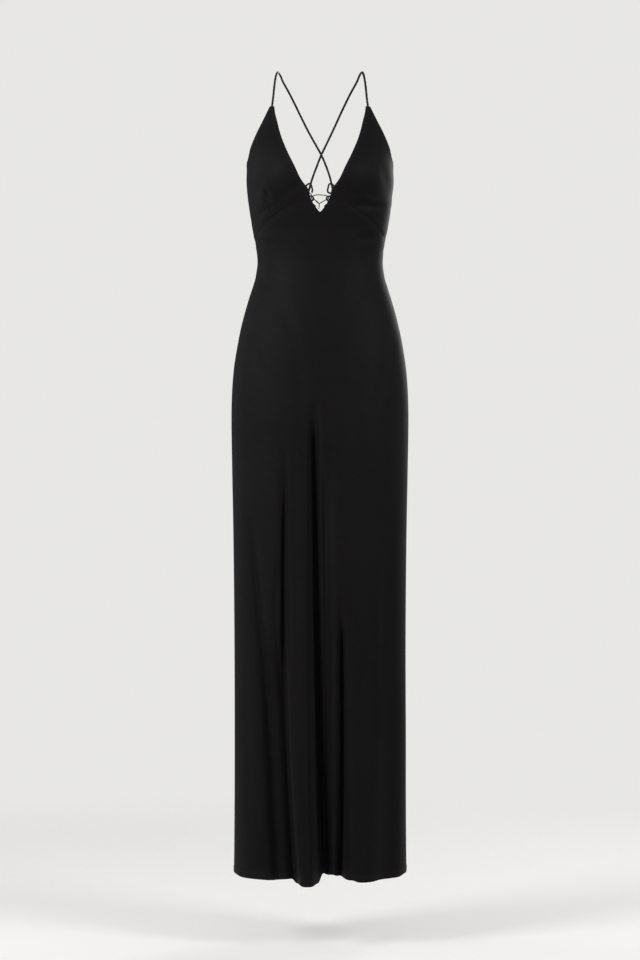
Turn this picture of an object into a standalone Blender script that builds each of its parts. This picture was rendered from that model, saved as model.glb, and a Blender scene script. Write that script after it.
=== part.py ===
"""Long satin slip dress, worn form with no wearer: open cloth walls at real size, in metres.

The wearer faces -Y and +Z is up. The origin is midway between the two tops of the straps, where the
shoulders hold the dress. Left and right are the wearer's, so left is at +X.
"""
import math
from collections import namedtuple

import bpy
from mathutils import Vector

# Cloth and seams
WALL = 0.0012
SEAM_HALF_GAP = 0.0002
SIDE_HALF_GAP = 0.00025
CLEARANCE = 0.0003

# Rouleau, lace and beads
STRAP_DIAMETER = 0.0044
LOOP_DIAMETER = 0.0036
LACE_DIAMETER = 0.0018
BEAD_DIAMETER = 0.0038
BEAD_SIDES = 12
BEAD_RINGS = 8

# Rings round the figure: height, then distances from the side seam line
Section = namedtuple("Section", "height half_width front back squareness")
SECTIONS = (
    Section(-0.050, 0.141, 0.068, 0.070, 2.0),
    Section(-0.085, 0.141, 0.081, 0.080, 2.0),
    Section(-0.121, 0.141, 0.094, 0.086, 2.0),
    Section(-0.141, 0.1397, 0.100, 0.088, 2.05),
    Section(-0.160, 0.1365, 0.104, 0.089, 2.1),
    Section(-0.176, 0.1348, 0.106, 0.088, 2.15),
    Section(-0.205, 0.1350, 0.106, 0.086, 2.2),
    Section(-0.236, 0.1323, 0.102, 0.083, 2.2),
    Section(-0.269, 0.1277, 0.097, 0.080, 2.15),
    Section(-0.302, 0.1219, 0.092, 0.077, 2.1),
    Section(-0.346, 0.1156, 0.088, 0.076, 2.1),
    Section(-0.380, 0.1196, 0.089, 0.080, 2.1),
    Section(-0.420, 0.1318, 0.093, 0.089, 2.15),
    Section(-0.457, 0.1425, 0.098, 0.098, 2.2),
    Section(-0.494, 0.1502, 0.102, 0.103, 2.2),
    Section(-0.550, 0.1590, 0.106, 0.110, 2.25),
    Section(-0.620, 0.1628, 0.108, 0.113, 2.3),
    Section(-0.720, 0.1617, 0.108, 0.112, 2.3),
    Section(-0.860, 0.1590, 0.108, 0.109, 2.3),
    Section(-1.050, 0.1572, 0.109, 0.107, 2.35),
    Section(-1.270, 0.1572, 0.111, 0.108, 2.35),
    Section(-1.415, 0.1581, 0.112, 0.110, 2.4),
    Section(-1.490, 0.1592, 0.113, 0.111, 2.4),
)

# Edge of each front cup, from the strap point down: the V and keyhole side, and the armhole side
CupRow = namedtuple("CupRow", "inner_x inner_height outer_x outer_height")
SIDE_SEAM = None
CUP_ROWS = (
    CupRow(0.0835, -0.070, 0.0915, -0.070),
    CupRow(0.0817, -0.084, 0.0985, -0.084),
    CupRow(0.0779, -0.099, 0.1065, -0.100),
    CupRow(0.0743, -0.1145, 0.1150, -0.116),
    CupRow(0.0697, -0.130, 0.1225, -0.132),
    CupRow(0.0641, -0.145, 0.1288, -0.148),
    CupRow(0.0578, -0.160, 0.1325, -0.163),
    CupRow(0.0505, -0.175, SIDE_SEAM, -0.1755),
    CupRow(0.0432, -0.1895, SIDE_SEAM, -0.197),
    CupRow(0.0361, -0.204, SIDE_SEAM, -0.222),
    CupRow(0.0275, -0.2165, SIDE_SEAM, -0.247),
    CupRow(0.0215, -0.2245, SIDE_SEAM, -0.268),
    CupRow(0.0190, -0.2345, SIDE_SEAM, -0.290),
    CupRow(0.0165, -0.2435, SIDE_SEAM, -0.312),
)

# Top edge of the front panel: the keyhole point, then the under-bust seam out to the side
EdgePoint = namedtuple("EdgePoint", "place height")
KEYHOLE_POINT = (
    EdgePoint(0.0000, -0.2670),
    EdgePoint(0.0040, -0.2632),
    EdgePoint(0.0075, -0.2585),
    EdgePoint(0.0110, -0.2540),
    EdgePoint(0.0140, -0.2485),
    EdgePoint(0.0165, -0.2435),
)
UNDER_BUST_SEAM = (
    EdgePoint(0.0165, -0.2435),
    EdgePoint(0.0307, -0.2470),
    EdgePoint(0.0540, -0.2555),
    EdgePoint(0.0770, -0.2680),
    EdgePoint(0.0950, -0.2807),
    EdgePoint(0.1060, -0.2905),
    EdgePoint(0.1150, -0.3010),
    EdgePoint(0.1205, -0.3120),
)
# Low back edge, place given as degrees round from the centre back
LOW_BACK_EDGE = (
    EdgePoint(0.0, -0.3000),
    EdgePoint(15.0, -0.2950),
    EdgePoint(30.0, -0.2810),
    EdgePoint(50.0, -0.2500),
    EdgePoint(70.0, -0.2120),
    EdgePoint(90.0, -0.1755),
)
HEM_HEIGHT = -1.474

# Fullness that the darts put into each cup
CUP_FULLNESS = 0.013
CUP_CENTRE_X = 0.080
CUP_CENTRE_HEIGHT = -0.192
CUP_HALF_WIDTH = 0.050
CUP_HALF_HEIGHT = 0.056

# Skirt folds: depth is inward at the hem, a ridge has a negative depth, drop lowers the hem there.
# Flatness 2 is a soft trough or ridge, 4 is one with a broad, nearly flat middle.
Fold = namedtuple("Fold", "top top_x middle_x hem_x left_width right_width flatness depth drop")
FRONT_FOLDS = (
    Fold(-0.628, -0.013, -0.005, 0.009, 0.012, 0.020, 2, 0.030, -0.007),
    Fold(-0.840, -0.042, -0.040, -0.0215, 0.020, 0.021, 4, -0.010, 0.0095),
    Fold(-0.700, -0.065, -0.0665, -0.047, 0.013, 0.009, 2, 0.013, 0.000),
    Fold(-0.842, -0.122, -0.100, -0.080, 0.018, 0.015, 2, 0.010, 0.002),
    Fold(-0.960, 0.036, 0.040, 0.039, 0.010, 0.010, 2, 0.016, -0.003),
    Fold(-0.900, 0.090, 0.082, 0.078, 0.026, 0.026, 4, -0.005, 0.003),
    Fold(-0.820, 0.126, 0.124, 0.121, 0.016, 0.018, 2, 0.008, 0.001),
)
BACK_FOLDS = (
    Fold(-0.700, 0.014, 0.020, 0.028, 0.018, 0.020, 2, 0.026, -0.003),
    Fold(-0.860, 0.058, 0.062, 0.066, 0.022, 0.022, 4, -0.008, 0.004),
    Fold(-0.780, -0.056, -0.064, -0.070, 0.018, 0.018, 2, 0.020, -0.002),
    Fold(-0.900, -0.016, -0.020, -0.022, 0.024, 0.020, 4, -0.006, 0.003),
    Fold(-0.940, 0.112, 0.108, 0.104, 0.016, 0.017, 2, 0.012, -0.001),
    Fold(-1.020, -0.120, -0.116, -0.112, 0.018, 0.017, 2, 0.011, -0.001),
)

# Folds and fullness fade out over this share of the half width, next to the side seam
SIDE_FADE = 0.22

# Rows and columns of the walls
FRONT_SIDE_COLUMNS = 17
BACK_COLUMNS = 28
PANEL_WAIST_HEIGHT = -0.350
PANEL_HIP_HEIGHT = -0.640
WAIST_ROWS = 5
HIP_ROWS = 8
SKIRT_ROWS = 14
CUP_COLUMNS = 11
CUP_ROW_COUNT = 14
# From this share of the way down, a cup's rows bend towards the under-bust seam
CUP_ROWS_BEND = 0.55
CURVE_STEPS = 24

# Strap along its centre line on the wearer's left, from the cup point to the low back edge
STRAP_ROUTE = (
    (0.0852, -0.0500, -0.0520),
    (0.0836, -0.0420, -0.0330),
    (0.0812, -0.0270, -0.0130),
    (0.0786, -0.0100, -0.0020),
    (0.0757, 0.0070, -0.0004),
    (0.0722, 0.0190, -0.0050),
    (0.0683, 0.0340, -0.0128),
    (0.0565, 0.0530, -0.0320),
    (0.0454, 0.0675, -0.0525),
    (0.0347, 0.0780, -0.0737),
    (0.0239, 0.0855, -0.0955),
    (0.0122, 0.0900, -0.1177),
    (0.0000, 0.0920, -0.1410),
    (-0.0089, 0.0915, -0.1627),
    (-0.0169, 0.0895, -0.1855),
    (-0.0225, 0.0870, -0.2082),
    (-0.0285, 0.0835, -0.2350),
    (-0.0345, 0.0795, -0.2630),
)
STRAP_CROSSING = -0.1410
STRAP_CROSSING_REACH = 0.050
# The crossed straps hang a little to the wearer's left: how far, from what height, and over what reach
STRAP_LEAN = 0.0028
STRAP_LEAN_HEIGHT = -0.165
STRAP_LEAN_REACH = 0.060
# Each end is caught inside its edge: the places across, and how far in from the cloth's outer face
STRAP_FRONT_X = 0.0873
STRAP_BACK_X = 0.0400
STRAP_CAUGHT = 0.008
STRAP_DEPTH = WALL + CLEARANCE + 0.56 * STRAP_DIAMETER + 0.0004
STRAP_POINTS = 38

# Keyhole loops on the wearer's left: place across and height, in a plane just behind the cloth
LOOP_DEPTH = WALL + 0.0005 + LOOP_DIAMETER / 2
LOOP_ROUTES = {
    "upper": ((0.0262, -0.2210), (0.0208, -0.2165), (0.0165, -0.2172), (0.0148, -0.2225),
              (0.0137, -0.2275), (0.0150, -0.2318), (0.0195, -0.2330), (0.0240, -0.2325)),
    "middle": ((0.0232, -0.2376), (0.0175, -0.2382), (0.0130, -0.2396), (0.0120, -0.2428),
               (0.0142, -0.2462), (0.0215, -0.2478)),
    "lower": ((0.0190, -0.2528), (0.0135, -0.2534), (0.0098, -0.2548), (0.0092, -0.2578),
              (0.0120, -0.2606), (0.0170, -0.2618)),
}
LOOP_POINTS = 12

# Lace: across, height, and how far in front of the plane of the loops
LACE_ROUTE = (
    (-0.0018, -0.2562, 0.0004),
    (-0.0014, -0.2530, 0.0000),
    (-0.0030, -0.2496, -0.0006),
    (-0.0070, -0.2462, -0.0022),
    (-0.0108, -0.2438, -0.0034),
    (-0.0143, -0.2432, -0.0030),
    (-0.0156, -0.2426, 0.0000),
    (-0.0150, -0.2408, 0.0032),
    (-0.0118, -0.2376, 0.0035),
    (-0.0060, -0.2362, 0.0022),
    (0.0000, -0.2362, 0.0018),
    (0.0060, -0.2366, 0.0022),
    (0.0118, -0.2378, 0.0035),
    (0.0150, -0.2408, 0.0032),
    (0.0156, -0.2426, 0.0000),
    (0.0143, -0.2432, -0.0030),
    (0.0108, -0.2442, -0.0034),
    (0.0060, -0.2474, -0.0014),
    (0.0014, -0.2500, 0.0012),
    (-0.0024, -0.2512, 0.0026),
    (-0.0066, -0.2480, 0.0040),
    (-0.0110, -0.2432, 0.0054),
    (-0.0142, -0.2388, 0.0062),
    (-0.0158, -0.2354, 0.0062),
)
LACE_POINTS = 54


def smooth_reading(heights, values, height):
    """A value between the rows of a table, on a curve with no corners."""
    if height >= heights[0]:
        return values[0]
    if height <= heights[-1]:
        return values[-1]
    row = 0
    while heights[row + 1] > height:
        row += 1
    step = heights[row + 1] - heights[row]
    share = (height - heights[row]) / step
    rise = (values[row + 1] - values[row]) / step
    before = rise
    after = rise
    if row > 0:
        before = (values[row + 1] - values[row - 1]) / (heights[row + 1] - heights[row - 1])
    if row + 2 < len(heights):
        after = (values[row + 2] - values[row]) / (heights[row + 2] - heights[row])
    square = share * share
    cube = square * share
    return (
        (2 * cube - 3 * square + 1) * values[row]
        + (cube - 2 * square + share) * before * step
        + (3 * square - 2 * cube) * values[row + 1]
        + (cube - square) * after * step
    )


SECTION_HEIGHTS = [row.height for row in SECTIONS]


def section_at(height):
    """The ring of the figure at a height."""
    columns = [[row[column] for row in SECTIONS] for column in range(1, 5)]
    return Section(height, *(smooth_reading(SECTION_HEIGHTS, column, height) for column in columns))


def soft_step(share):
    """0 to 1 with level ends."""
    share = min(max(share, 0.0), 1.0)
    return share * share * (3 - 2 * share)


def fold_growth(fold, height):
    """0 where a fold starts, 1 at the hem."""
    share = min(max((fold.top - height) / (fold.top - HEM_HEIGHT), 0.0), 1.0)
    return soft_step(share) ** 0.5 * share ** 0.5


def fold_centre(fold, height):
    """Where the fold's line runs at a height: a parabola through its top, middle and hem places."""
    share = min(max((fold.top - height) / (fold.top - HEM_HEIGHT), 0.0), 1.0)
    bend = fold.middle_x - (fold.top_x + fold.hem_x) / 2
    return fold.top_x + (fold.hem_x - fold.top_x) * share + 4 * bend * share * (1 - share)


def fold_profile(fold, x, height):
    """1 on the fold's line, falling off softly to each side."""
    away = x - fold_centre(fold, height)
    width = fold.left_width if away < 0 else fold.right_width
    return math.exp(-(abs(away / width) ** fold.flatness))


def folds_inward(folds, x, height):
    """How far the folds take the cloth in at a place."""
    return sum(fold.depth * fold_growth(fold, height) * fold_profile(fold, x, height) for fold in folds)


def cup_fullness(x, height):
    """How far the cups stand out at a place."""
    across = (abs(x) - CUP_CENTRE_X) / CUP_HALF_WIDTH
    along = (height - CUP_CENTRE_HEIGHT) / CUP_HALF_HEIGHT
    return CUP_FULLNESS * math.exp(-across * across - along * along)


def near_side(x, section):
    """1 on the flat of the front or back, 0 at the side seam."""
    return soft_step((1 - abs(x) / section.half_width) / SIDE_FADE)


def cloth_depth(x, height, front):
    """Distance of the cloth's outer face from the side seam line, ahead or behind."""
    section = section_at(height)
    across = min(abs(x) / section.half_width, 1.0)
    reach = section.front if front else section.back
    depth = reach * (1 - across ** section.squareness) ** (1 / section.squareness)
    relief = -folds_inward(FRONT_FOLDS if front else BACK_FOLDS, x, height)
    if front:
        relief += cup_fullness(x, height)
    return depth + relief * near_side(x, section)


def on_cloth(x, height, front):
    """A point on the outer face."""
    depth = cloth_depth(x, height, front)
    return Vector((x, -depth - SIDE_HALF_GAP if front else depth + SIDE_HALF_GAP, height))


def across_at(turn, height):
    """The place across for a turn from -1 at one side seam, through the middle, to 1 at the other."""
    section = section_at(height)
    sine = math.sin(turn * math.pi / 2)
    return section.half_width * math.copysign(abs(sine) ** (2 / section.squareness), sine)


def turn_at(x, height):
    """The turn that across_at gives x for."""
    section = section_at(height)
    share = min(abs(x) / section.half_width, 1.0)
    return math.copysign(math.asin(share ** (section.squareness / 2)) * 2 / math.pi, x)


def edge_height(edge, place):
    """Height of an edge that is given as a table of places and heights."""
    places = [-point.place for point in edge]
    return smooth_reading(places, [point.height for point in edge], -place)


def under_bust_height(turn):
    """Height of the under-bust seam for a turn round the figure."""
    turns = [-turn_at(point.place, point.height) for point in UNDER_BUST_SEAM]
    return smooth_reading(turns, [point.height for point in UNDER_BUST_SEAM], -turn)


def hem_height(x, folds):
    """The hem hangs level apart from where the folds lift or lower it."""
    return HEM_HEIGHT - sum(fold.drop * fold_profile(fold, x, HEM_HEIGHT) for fold in folds)


def new_material(name, colour, roughness, metallic=0.0):
    """A plain finish with the piece's colour."""
    material = bpy.data.materials.new(name)
    material.use_nodes = True
    shader = material.node_tree.nodes["Principled BSDF"]
    shader.inputs["Base Color"].default_value = (*colour, 1.0)
    shader.inputs["Roughness"].default_value = roughness
    shader.inputs["Metallic"].default_value = metallic
    return material


def cloth_wall(name, rows, collection, material):
    """An open sheet through rows of points, from top to bottom and toward +X, given its thickness inward."""
    mesh = bpy.data.meshes.new(name)
    width = len(rows[0])
    points = [point for row in rows for point in row]
    faces = []
    for down in range(len(rows) - 1):
        for across in range(width - 1):
            corner = down * width + across
            faces.append((corner, corner + width, corner + width + 1, corner + 1))
    mesh.from_pydata(points, [], faces)
    mesh.materials.append(material)
    mesh.shade_smooth()
    piece = bpy.data.objects.new(name, mesh)
    collection.objects.link(piece)
    thickness = piece.modifiers.new("Wall", "SOLIDIFY")
    thickness.thickness = WALL
    thickness.offset = -1
    return piece


def smooth_route(route, count):
    """Points at even steps along a curve with no corners through a route."""
    knots = [Vector(point) for point in route]
    knots = [knots[0] * 2 - knots[1], *knots, knots[-1] * 2 - knots[-2]]
    fine = []
    for index in range(1, len(knots) - 2):
        before, start, end, after = knots[index - 1:index + 3]
        for step in range(CURVE_STEPS):
            share = step / CURVE_STEPS
            fine.append(0.5 * (
                2 * start
                + (end - before) * share
                + (2 * before - 5 * start + 4 * end - after) * share ** 2
                + (3 * start - before - 3 * end + after) * share ** 3
            ))
    fine.append(knots[-2])
    travelled = [0.0]
    for start, end in zip(fine, fine[1:]):
        travelled.append(travelled[-1] + (end - start).length)
    points = []
    index = 0
    for step in range(count):
        target = travelled[-1] * step / (count - 1)
        while index < len(fine) - 2 and travelled[index + 1] < target:
            index += 1
        share = (target - travelled[index]) / (travelled[index + 1] - travelled[index])
        points.append(fine[index].lerp(fine[index + 1], min(share, 1.0)))
    return points


def tube(name, points, diameter, collection, material):
    """A round cord through points."""
    curve = bpy.data.curves.new(name, "CURVE")
    curve.dimensions = "3D"
    curve.bevel_depth = diameter / 2
    curve.bevel_resolution = 2
    curve.use_fill_caps = True
    curve.materials.append(material)
    line = curve.splines.new("POLY")
    line.points.add(len(points) - 1)
    for knot, point in zip(line.points, points):
        knot.co = (*point, 1.0)
    piece = bpy.data.objects.new(name, curve)
    collection.objects.link(piece)
    return piece


def make_cup(side, collection, material):
    """Front cup, from the strap point down to the under-bust seam."""
    sign = 1 if side == "left" else -1
    places = [-index for index in range(len(CUP_ROWS))]
    edges = []
    for row in CUP_ROWS:
        outer = 1.0 if row.outer_x is SIDE_SEAM else turn_at(row.outer_x, row.outer_height)
        edges.append((turn_at(row.inner_x, row.inner_height), row.inner_height, outer, row.outer_height))
    rows = []
    for step in range(CUP_ROW_COUNT):
        place = -(len(CUP_ROWS) - 1) * step / (CUP_ROW_COUNT - 1)
        inner, inner_height, outer, outer_height = (
            smooth_reading(places, [edge[column] for edge in edges], place) for column in range(4)
        )
        outer = min(outer, 1.0)
        row = []
        for column in range(CUP_COLUMNS):
            share = column / (CUP_COLUMNS - 1)
            turn = inner + (outer - inner) * share
            height = inner_height + (outer_height - inner_height) * share
            seam_pull = soft_step((step / (CUP_ROW_COUNT - 1) - CUP_ROWS_BEND) / (1 - CUP_ROWS_BEND))
            straight = CUP_ROWS[-1].inner_height
            straight += (CUP_ROWS[-1].outer_height - straight) * share
            seam = under_bust_height(turn) + SEAM_HALF_GAP
            height += (seam - straight) * seam_pull
            row.append(on_cloth(sign * across_at(turn, height), height, True))
        rows.append(row if sign > 0 else row[::-1])
    return cloth_wall("cup_" + side, rows, collection, material)


def panel_heights(top, hem):
    """Row heights down a panel, closer together where the figure curves."""
    heights = []
    for start, end, count in (
        (top, PANEL_WAIST_HEIGHT, WAIST_ROWS),
        (PANEL_WAIST_HEIGHT, PANEL_HIP_HEIGHT, HIP_ROWS),
        (PANEL_HIP_HEIGHT, hem, SKIRT_ROWS),
    ):
        heights += [start + (end - start) * step / count for step in range(count)]
    return heights + [hem]


def make_front_panel(collection, material):
    """Front from the keyhole point and under-bust seam to the hem, side seam to side seam."""
    keyhole = KEYHOLE_POINT[:-1]
    start = turn_at(KEYHOLE_POINT[-1].place, KEYHOLE_POINT[-1].height)
    half = [(turn_at(point.place, point.height), point.height) for point in keyhole]
    for step in range(FRONT_SIDE_COLUMNS + 1):
        turn = start + (1 - start) * step / FRONT_SIDE_COLUMNS
        half.append((turn, under_bust_height(turn) - SEAM_HALF_GAP))
    columns = [(-turn, top) for turn, top in half[:0:-1]] + half
    hem_x = [across_at(turn, HEM_HEIGHT) for turn, top in columns]
    downs = [
        panel_heights(top, hem_height(x, FRONT_FOLDS)) for (turn, top), x in zip(columns, hem_x)
    ]
    rows = [
        [on_cloth(across_at(turn, down[row]), down[row], True) for (turn, top), down in zip(columns, downs)]
        for row in range(len(downs[0]))
    ]
    return cloth_wall("front_panel", rows, collection, material)


def make_back_panel(collection, material):
    """Back from its low top edge to the hem. Its rows run toward -X, so that the outer face is behind."""
    columns = [1 - 2 * step / BACK_COLUMNS for step in range(BACK_COLUMNS + 1)]
    downs = [
        panel_heights(
            edge_height(LOW_BACK_EDGE, abs(turn) * 90),
            hem_height(across_at(turn, HEM_HEIGHT), BACK_FOLDS),
        )
        for turn in columns
    ]
    rows = [
        [on_cloth(across_at(turn, down[row]), down[row], False) for turn, down in zip(columns, downs)]
        for row in range(len(downs[0]))
    ]
    return cloth_wall("back_panel", rows, collection, material)


def make_strap(side, collection, material):
    """Rouleau strap over the shoulder. The two cross on the back, the wearer's right one nearer the body."""
    sign = 1 if side == "left" else -1
    cup_top = CUP_ROWS[0].inner_height
    front_end = [
        (STRAP_FRONT_X, -cloth_depth(STRAP_FRONT_X, cup_top, True) + STRAP_DEPTH, height)
        for height in (cup_top - STRAP_CAUGHT, cup_top)
    ]
    back_top = edge_height(LOW_BACK_EDGE, abs(turn_at(STRAP_BACK_X, LOW_BACK_EDGE[2].height)) * 90)
    back_end = [
        (-STRAP_BACK_X, cloth_depth(STRAP_BACK_X, back_top, False) - STRAP_DEPTH, height)
        for height in (back_top, back_top - STRAP_CAUGHT)
    ]
    points = []
    for point in smooth_route([*front_end, *STRAP_ROUTE, *back_end], STRAP_POINTS):
        pass_by = 0.0
        lean = 0.0
        if point.y > 0:
            near = (point.z - STRAP_CROSSING) / STRAP_CROSSING_REACH
            pass_by = sign * (STRAP_DIAMETER + CLEARANCE) / 2 * math.exp(-near * near)
            near = (point.z - STRAP_LEAN_HEIGHT) / STRAP_LEAN_REACH
            lean = STRAP_LEAN * math.exp(-near * near)
        points.append((sign * point.x + lean, point.y + pass_by, point.z))
    return tube("strap_" + side, points, STRAP_DIAMETER, collection, material)


def keyhole_point(x, height, forward):
    """A point near the keyhole, in front of the plane that the loops lie in."""
    return (x, -cloth_depth(x, height, True) + LOOP_DEPTH - forward, height)


def make_loops(collection, material):
    """Three rouleau loops on each side of the keyhole, their ends behind its edge."""
    for place, route in LOOP_ROUTES.items():
        for side, sign in (("left", 1), ("right", -1)):
            path = [keyhole_point(sign * x, height, 0.0) for x, height in route]
            tube(f"loop_{place}_{side}", smooth_route(path, LOOP_POINTS), LOOP_DIAMETER, collection, material)


def make_lace(collection, material, metal):
    """Lace through the middle loops, crossed at its middle, with a small metal bead beyond each end."""
    path = [Vector(keyhole_point(*point)) for point in LACE_ROUTE]
    points = smooth_route(path, LACE_POINTS)
    tube("lace", points, LACE_DIAMETER, collection, material)
    for name, end, before in (("bead_lower", points[0], points[1]), ("bead_upper", points[-1], points[-2])):
        outward = (end - before).normalized()
        centre = end + outward * (BEAD_DIAMETER / 2 + CLEARANCE)
        bpy.ops.mesh.primitive_uv_sphere_add(
            segments=BEAD_SIDES, ring_count=BEAD_RINGS, radius=BEAD_DIAMETER / 2, location=centre
        )
        bead = bpy.context.object
        bead.name = name
        bead.data.materials.append(metal)
        bead.data.shade_smooth()
        for holder in list(bead.users_collection):
            holder.objects.unlink(bead)
        collection.objects.link(bead)


def main():
    for old in list(bpy.data.objects):
        bpy.data.objects.remove(old, do_unlink=True)
    collection = bpy.data.collections.new("slip_dress")
    bpy.context.scene.collection.children.link(collection)
    satin = new_material("black_satin", (0.010, 0.010, 0.011), 0.42)
    rouleau = new_material("satin_rouleau", (0.013, 0.013, 0.014), 0.45)
    metal = new_material("pale_metal", (0.78, 0.76, 0.72), 0.25, 1.0)
    for side in ("left", "right"):
        make_cup(side, collection, satin)
        make_strap(side, collection, rouleau)
    make_front_panel(collection, satin)
    make_back_panel(collection, satin)
    make_loops(collection, rouleau)
    make_lace(collection, rouleau, metal)


main()
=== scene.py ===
# %% [markdown]
# # A long satin slip dress with nobody in it
# The real dress is cut on the bias from black satin: two soft cups, one long front, one long
# back, and thin rouleau straps that cross on an open back. A set of plain solids already fixes
# every size. This lesson builds how the dress looks around them. All lengths are metres, the
# wearer faces -Y, +Z is up, and left and right are the wearer's, so left is at +X.

# %% Load the fixed solids
import math
from collections import namedtuple

import bpy
import numpy as np
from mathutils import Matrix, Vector


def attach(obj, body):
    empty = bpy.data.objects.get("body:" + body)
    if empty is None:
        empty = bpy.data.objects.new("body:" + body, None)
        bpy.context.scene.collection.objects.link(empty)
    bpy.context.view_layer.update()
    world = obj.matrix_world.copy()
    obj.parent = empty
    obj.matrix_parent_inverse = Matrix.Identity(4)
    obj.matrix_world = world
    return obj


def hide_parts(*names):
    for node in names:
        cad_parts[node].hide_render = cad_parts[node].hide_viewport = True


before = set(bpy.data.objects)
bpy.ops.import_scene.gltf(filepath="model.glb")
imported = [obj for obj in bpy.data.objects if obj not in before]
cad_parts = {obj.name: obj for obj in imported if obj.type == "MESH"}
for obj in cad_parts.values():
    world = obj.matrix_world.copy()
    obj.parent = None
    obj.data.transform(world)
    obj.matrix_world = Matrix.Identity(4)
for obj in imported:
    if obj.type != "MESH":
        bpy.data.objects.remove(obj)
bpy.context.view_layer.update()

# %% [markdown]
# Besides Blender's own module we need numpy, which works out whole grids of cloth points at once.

scene = bpy.context.scene
print("solids:", len(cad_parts), "nodes")

# %% [markdown]
# The photograph looks straight at the dress from about five metres, level with its hips. At the
# side seams one pixel covers 1.843 mm, which gives the lens. A long lens from far away keeps the
# shoulders and the hem at nearly one scale, as a studio picture of clothes does.

# %% Camera
PHOTO_HEIGHT_PIXELS = 960
METRES_PER_PIXEL = 0.001843
CAMERA_DISTANCE = 5.0
CAMERA_HEIGHT = -0.751
SENSOR_MM = 36.0

camera_data = bpy.data.cameras.new("studio_camera")
camera_data.sensor_width = SENSOR_MM
camera_data.lens = SENSOR_MM * CAMERA_DISTANCE / (PHOTO_HEIGHT_PIXELS * METRES_PER_PIXEL)
camera = bpy.data.objects.new("studio_camera", camera_data)
scene.collection.objects.link(camera)
camera.location = (0.0, -CAMERA_DISTANCE, CAMERA_HEIGHT)
camera.rotation_euler = (math.pi / 2, 0.0, 0.0)
scene.camera = camera
print("lens:", round(camera_data.lens, 1), "mm")

# %% [markdown]
# A pattern cutter thinks of a body as rings. Each row of this table is one ring round a general
# figure: its height, how far it reaches to the side, to the front and to the back, and how square
# it is, where 2 is an ellipse. A smooth curve read between the rows turns a short table into a
# whole figure.

# %% Rings of the figure
Section = namedtuple("Section", "height half_width front back squareness")


def table(kind, *lines):
    """Rows with named columns."""
    return tuple(kind(*line) for line in lines)


SECTIONS = table(
    Section,
    (-0.050, 0.141, 0.068, 0.070, 2.0),
    (-0.085, 0.141, 0.081, 0.080, 2.0),
    (-0.121, 0.141, 0.094, 0.086, 2.0),
    (-0.141, 0.1397, 0.100, 0.088, 2.05),
    (-0.160, 0.1365, 0.104, 0.089, 2.1),
    (-0.176, 0.1348, 0.106, 0.088, 2.15),
    (-0.205, 0.1350, 0.106, 0.086, 2.2),
    (-0.236, 0.1323, 0.102, 0.083, 2.2),
    (-0.269, 0.1277, 0.097, 0.080, 2.15),
    (-0.302, 0.1219, 0.092, 0.077, 2.1),
    (-0.346, 0.1156, 0.088, 0.076, 2.1),
    (-0.380, 0.1196, 0.089, 0.080, 2.1),
    (-0.420, 0.1318, 0.093, 0.089, 2.15),
    (-0.457, 0.1425, 0.098, 0.098, 2.2),
    (-0.494, 0.1502, 0.102, 0.103, 2.2),
    (-0.550, 0.1590, 0.106, 0.110, 2.25),
    (-0.620, 0.1628, 0.108, 0.113, 2.3),
    (-0.720, 0.1617, 0.108, 0.112, 2.3),
    (-0.860, 0.1590, 0.108, 0.109, 2.3),
    (-1.050, 0.1572, 0.109, 0.107, 2.35),
    (-1.270, 0.1572, 0.111, 0.108, 2.35),
    (-1.415, 0.1581, 0.112, 0.110, 2.4),
    (-1.490, 0.1592, 0.113, 0.111, 2.4),
)


def read_table(places, values, at):
    """Values between the rows of a table, on a curve with no corners. places go up."""
    places = np.asarray(places, float)
    values = np.asarray(values, float)
    at = np.clip(np.asarray(at, float), places[0], places[-1])
    rise = np.diff(values) / np.diff(places)
    slope = np.empty_like(values)
    slope[0] = rise[0]
    slope[-1] = rise[-1]
    slope[1:-1] = (values[2:] - values[:-2]) / (places[2:] - places[:-2])
    row = np.clip(np.searchsorted(places, at, "right") - 1, 0, len(places) - 2)
    step = places[row + 1] - places[row]
    share = (at - places[row]) / step
    square = share**2
    cube = share**3
    return (
        (2 * cube - 3 * square + 1) * values[row]
        + (cube - 2 * square + share) * slope[row] * step
        + (3 * square - 2 * cube) * values[row + 1]
        + (cube - square) * slope[row + 1] * step
    )


def ring(height, column):
    """One column of the rings at these heights."""
    places = [-section.height for section in SECTIONS]
    values = [getattr(section, column) for section in SECTIONS]
    return read_table(places, values, -np.asarray(height))


def soft_step(share):
    """0 to 1 with level ends."""
    share = np.clip(share, 0.0, 1.0)
    return share * share * (3 - 2 * share)


def bell(away, reach, centre=0.0):
    """1 at the centre, falling off softly."""
    return np.exp(-(((away - centre) / reach) ** 2))


print("figure:", len(SECTIONS), "rings")

# %% [markdown]
# Bias-cut satin falls from the hips in a few long folds, and each is different. A fold here is a
# line down the skirt with a soft bump across it: where it starts, where it runs, how wide it is
# on each side, and how deep it is by the hem. A negative depth stands out as a ridge. Flatness 4
# gives the broad rounded ridge that hangs lowest at the middle of the hem. A short second table
# gives the small lifts and dips of the front hem where folded cloth pulls its edge up or lets it
# down.

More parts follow.
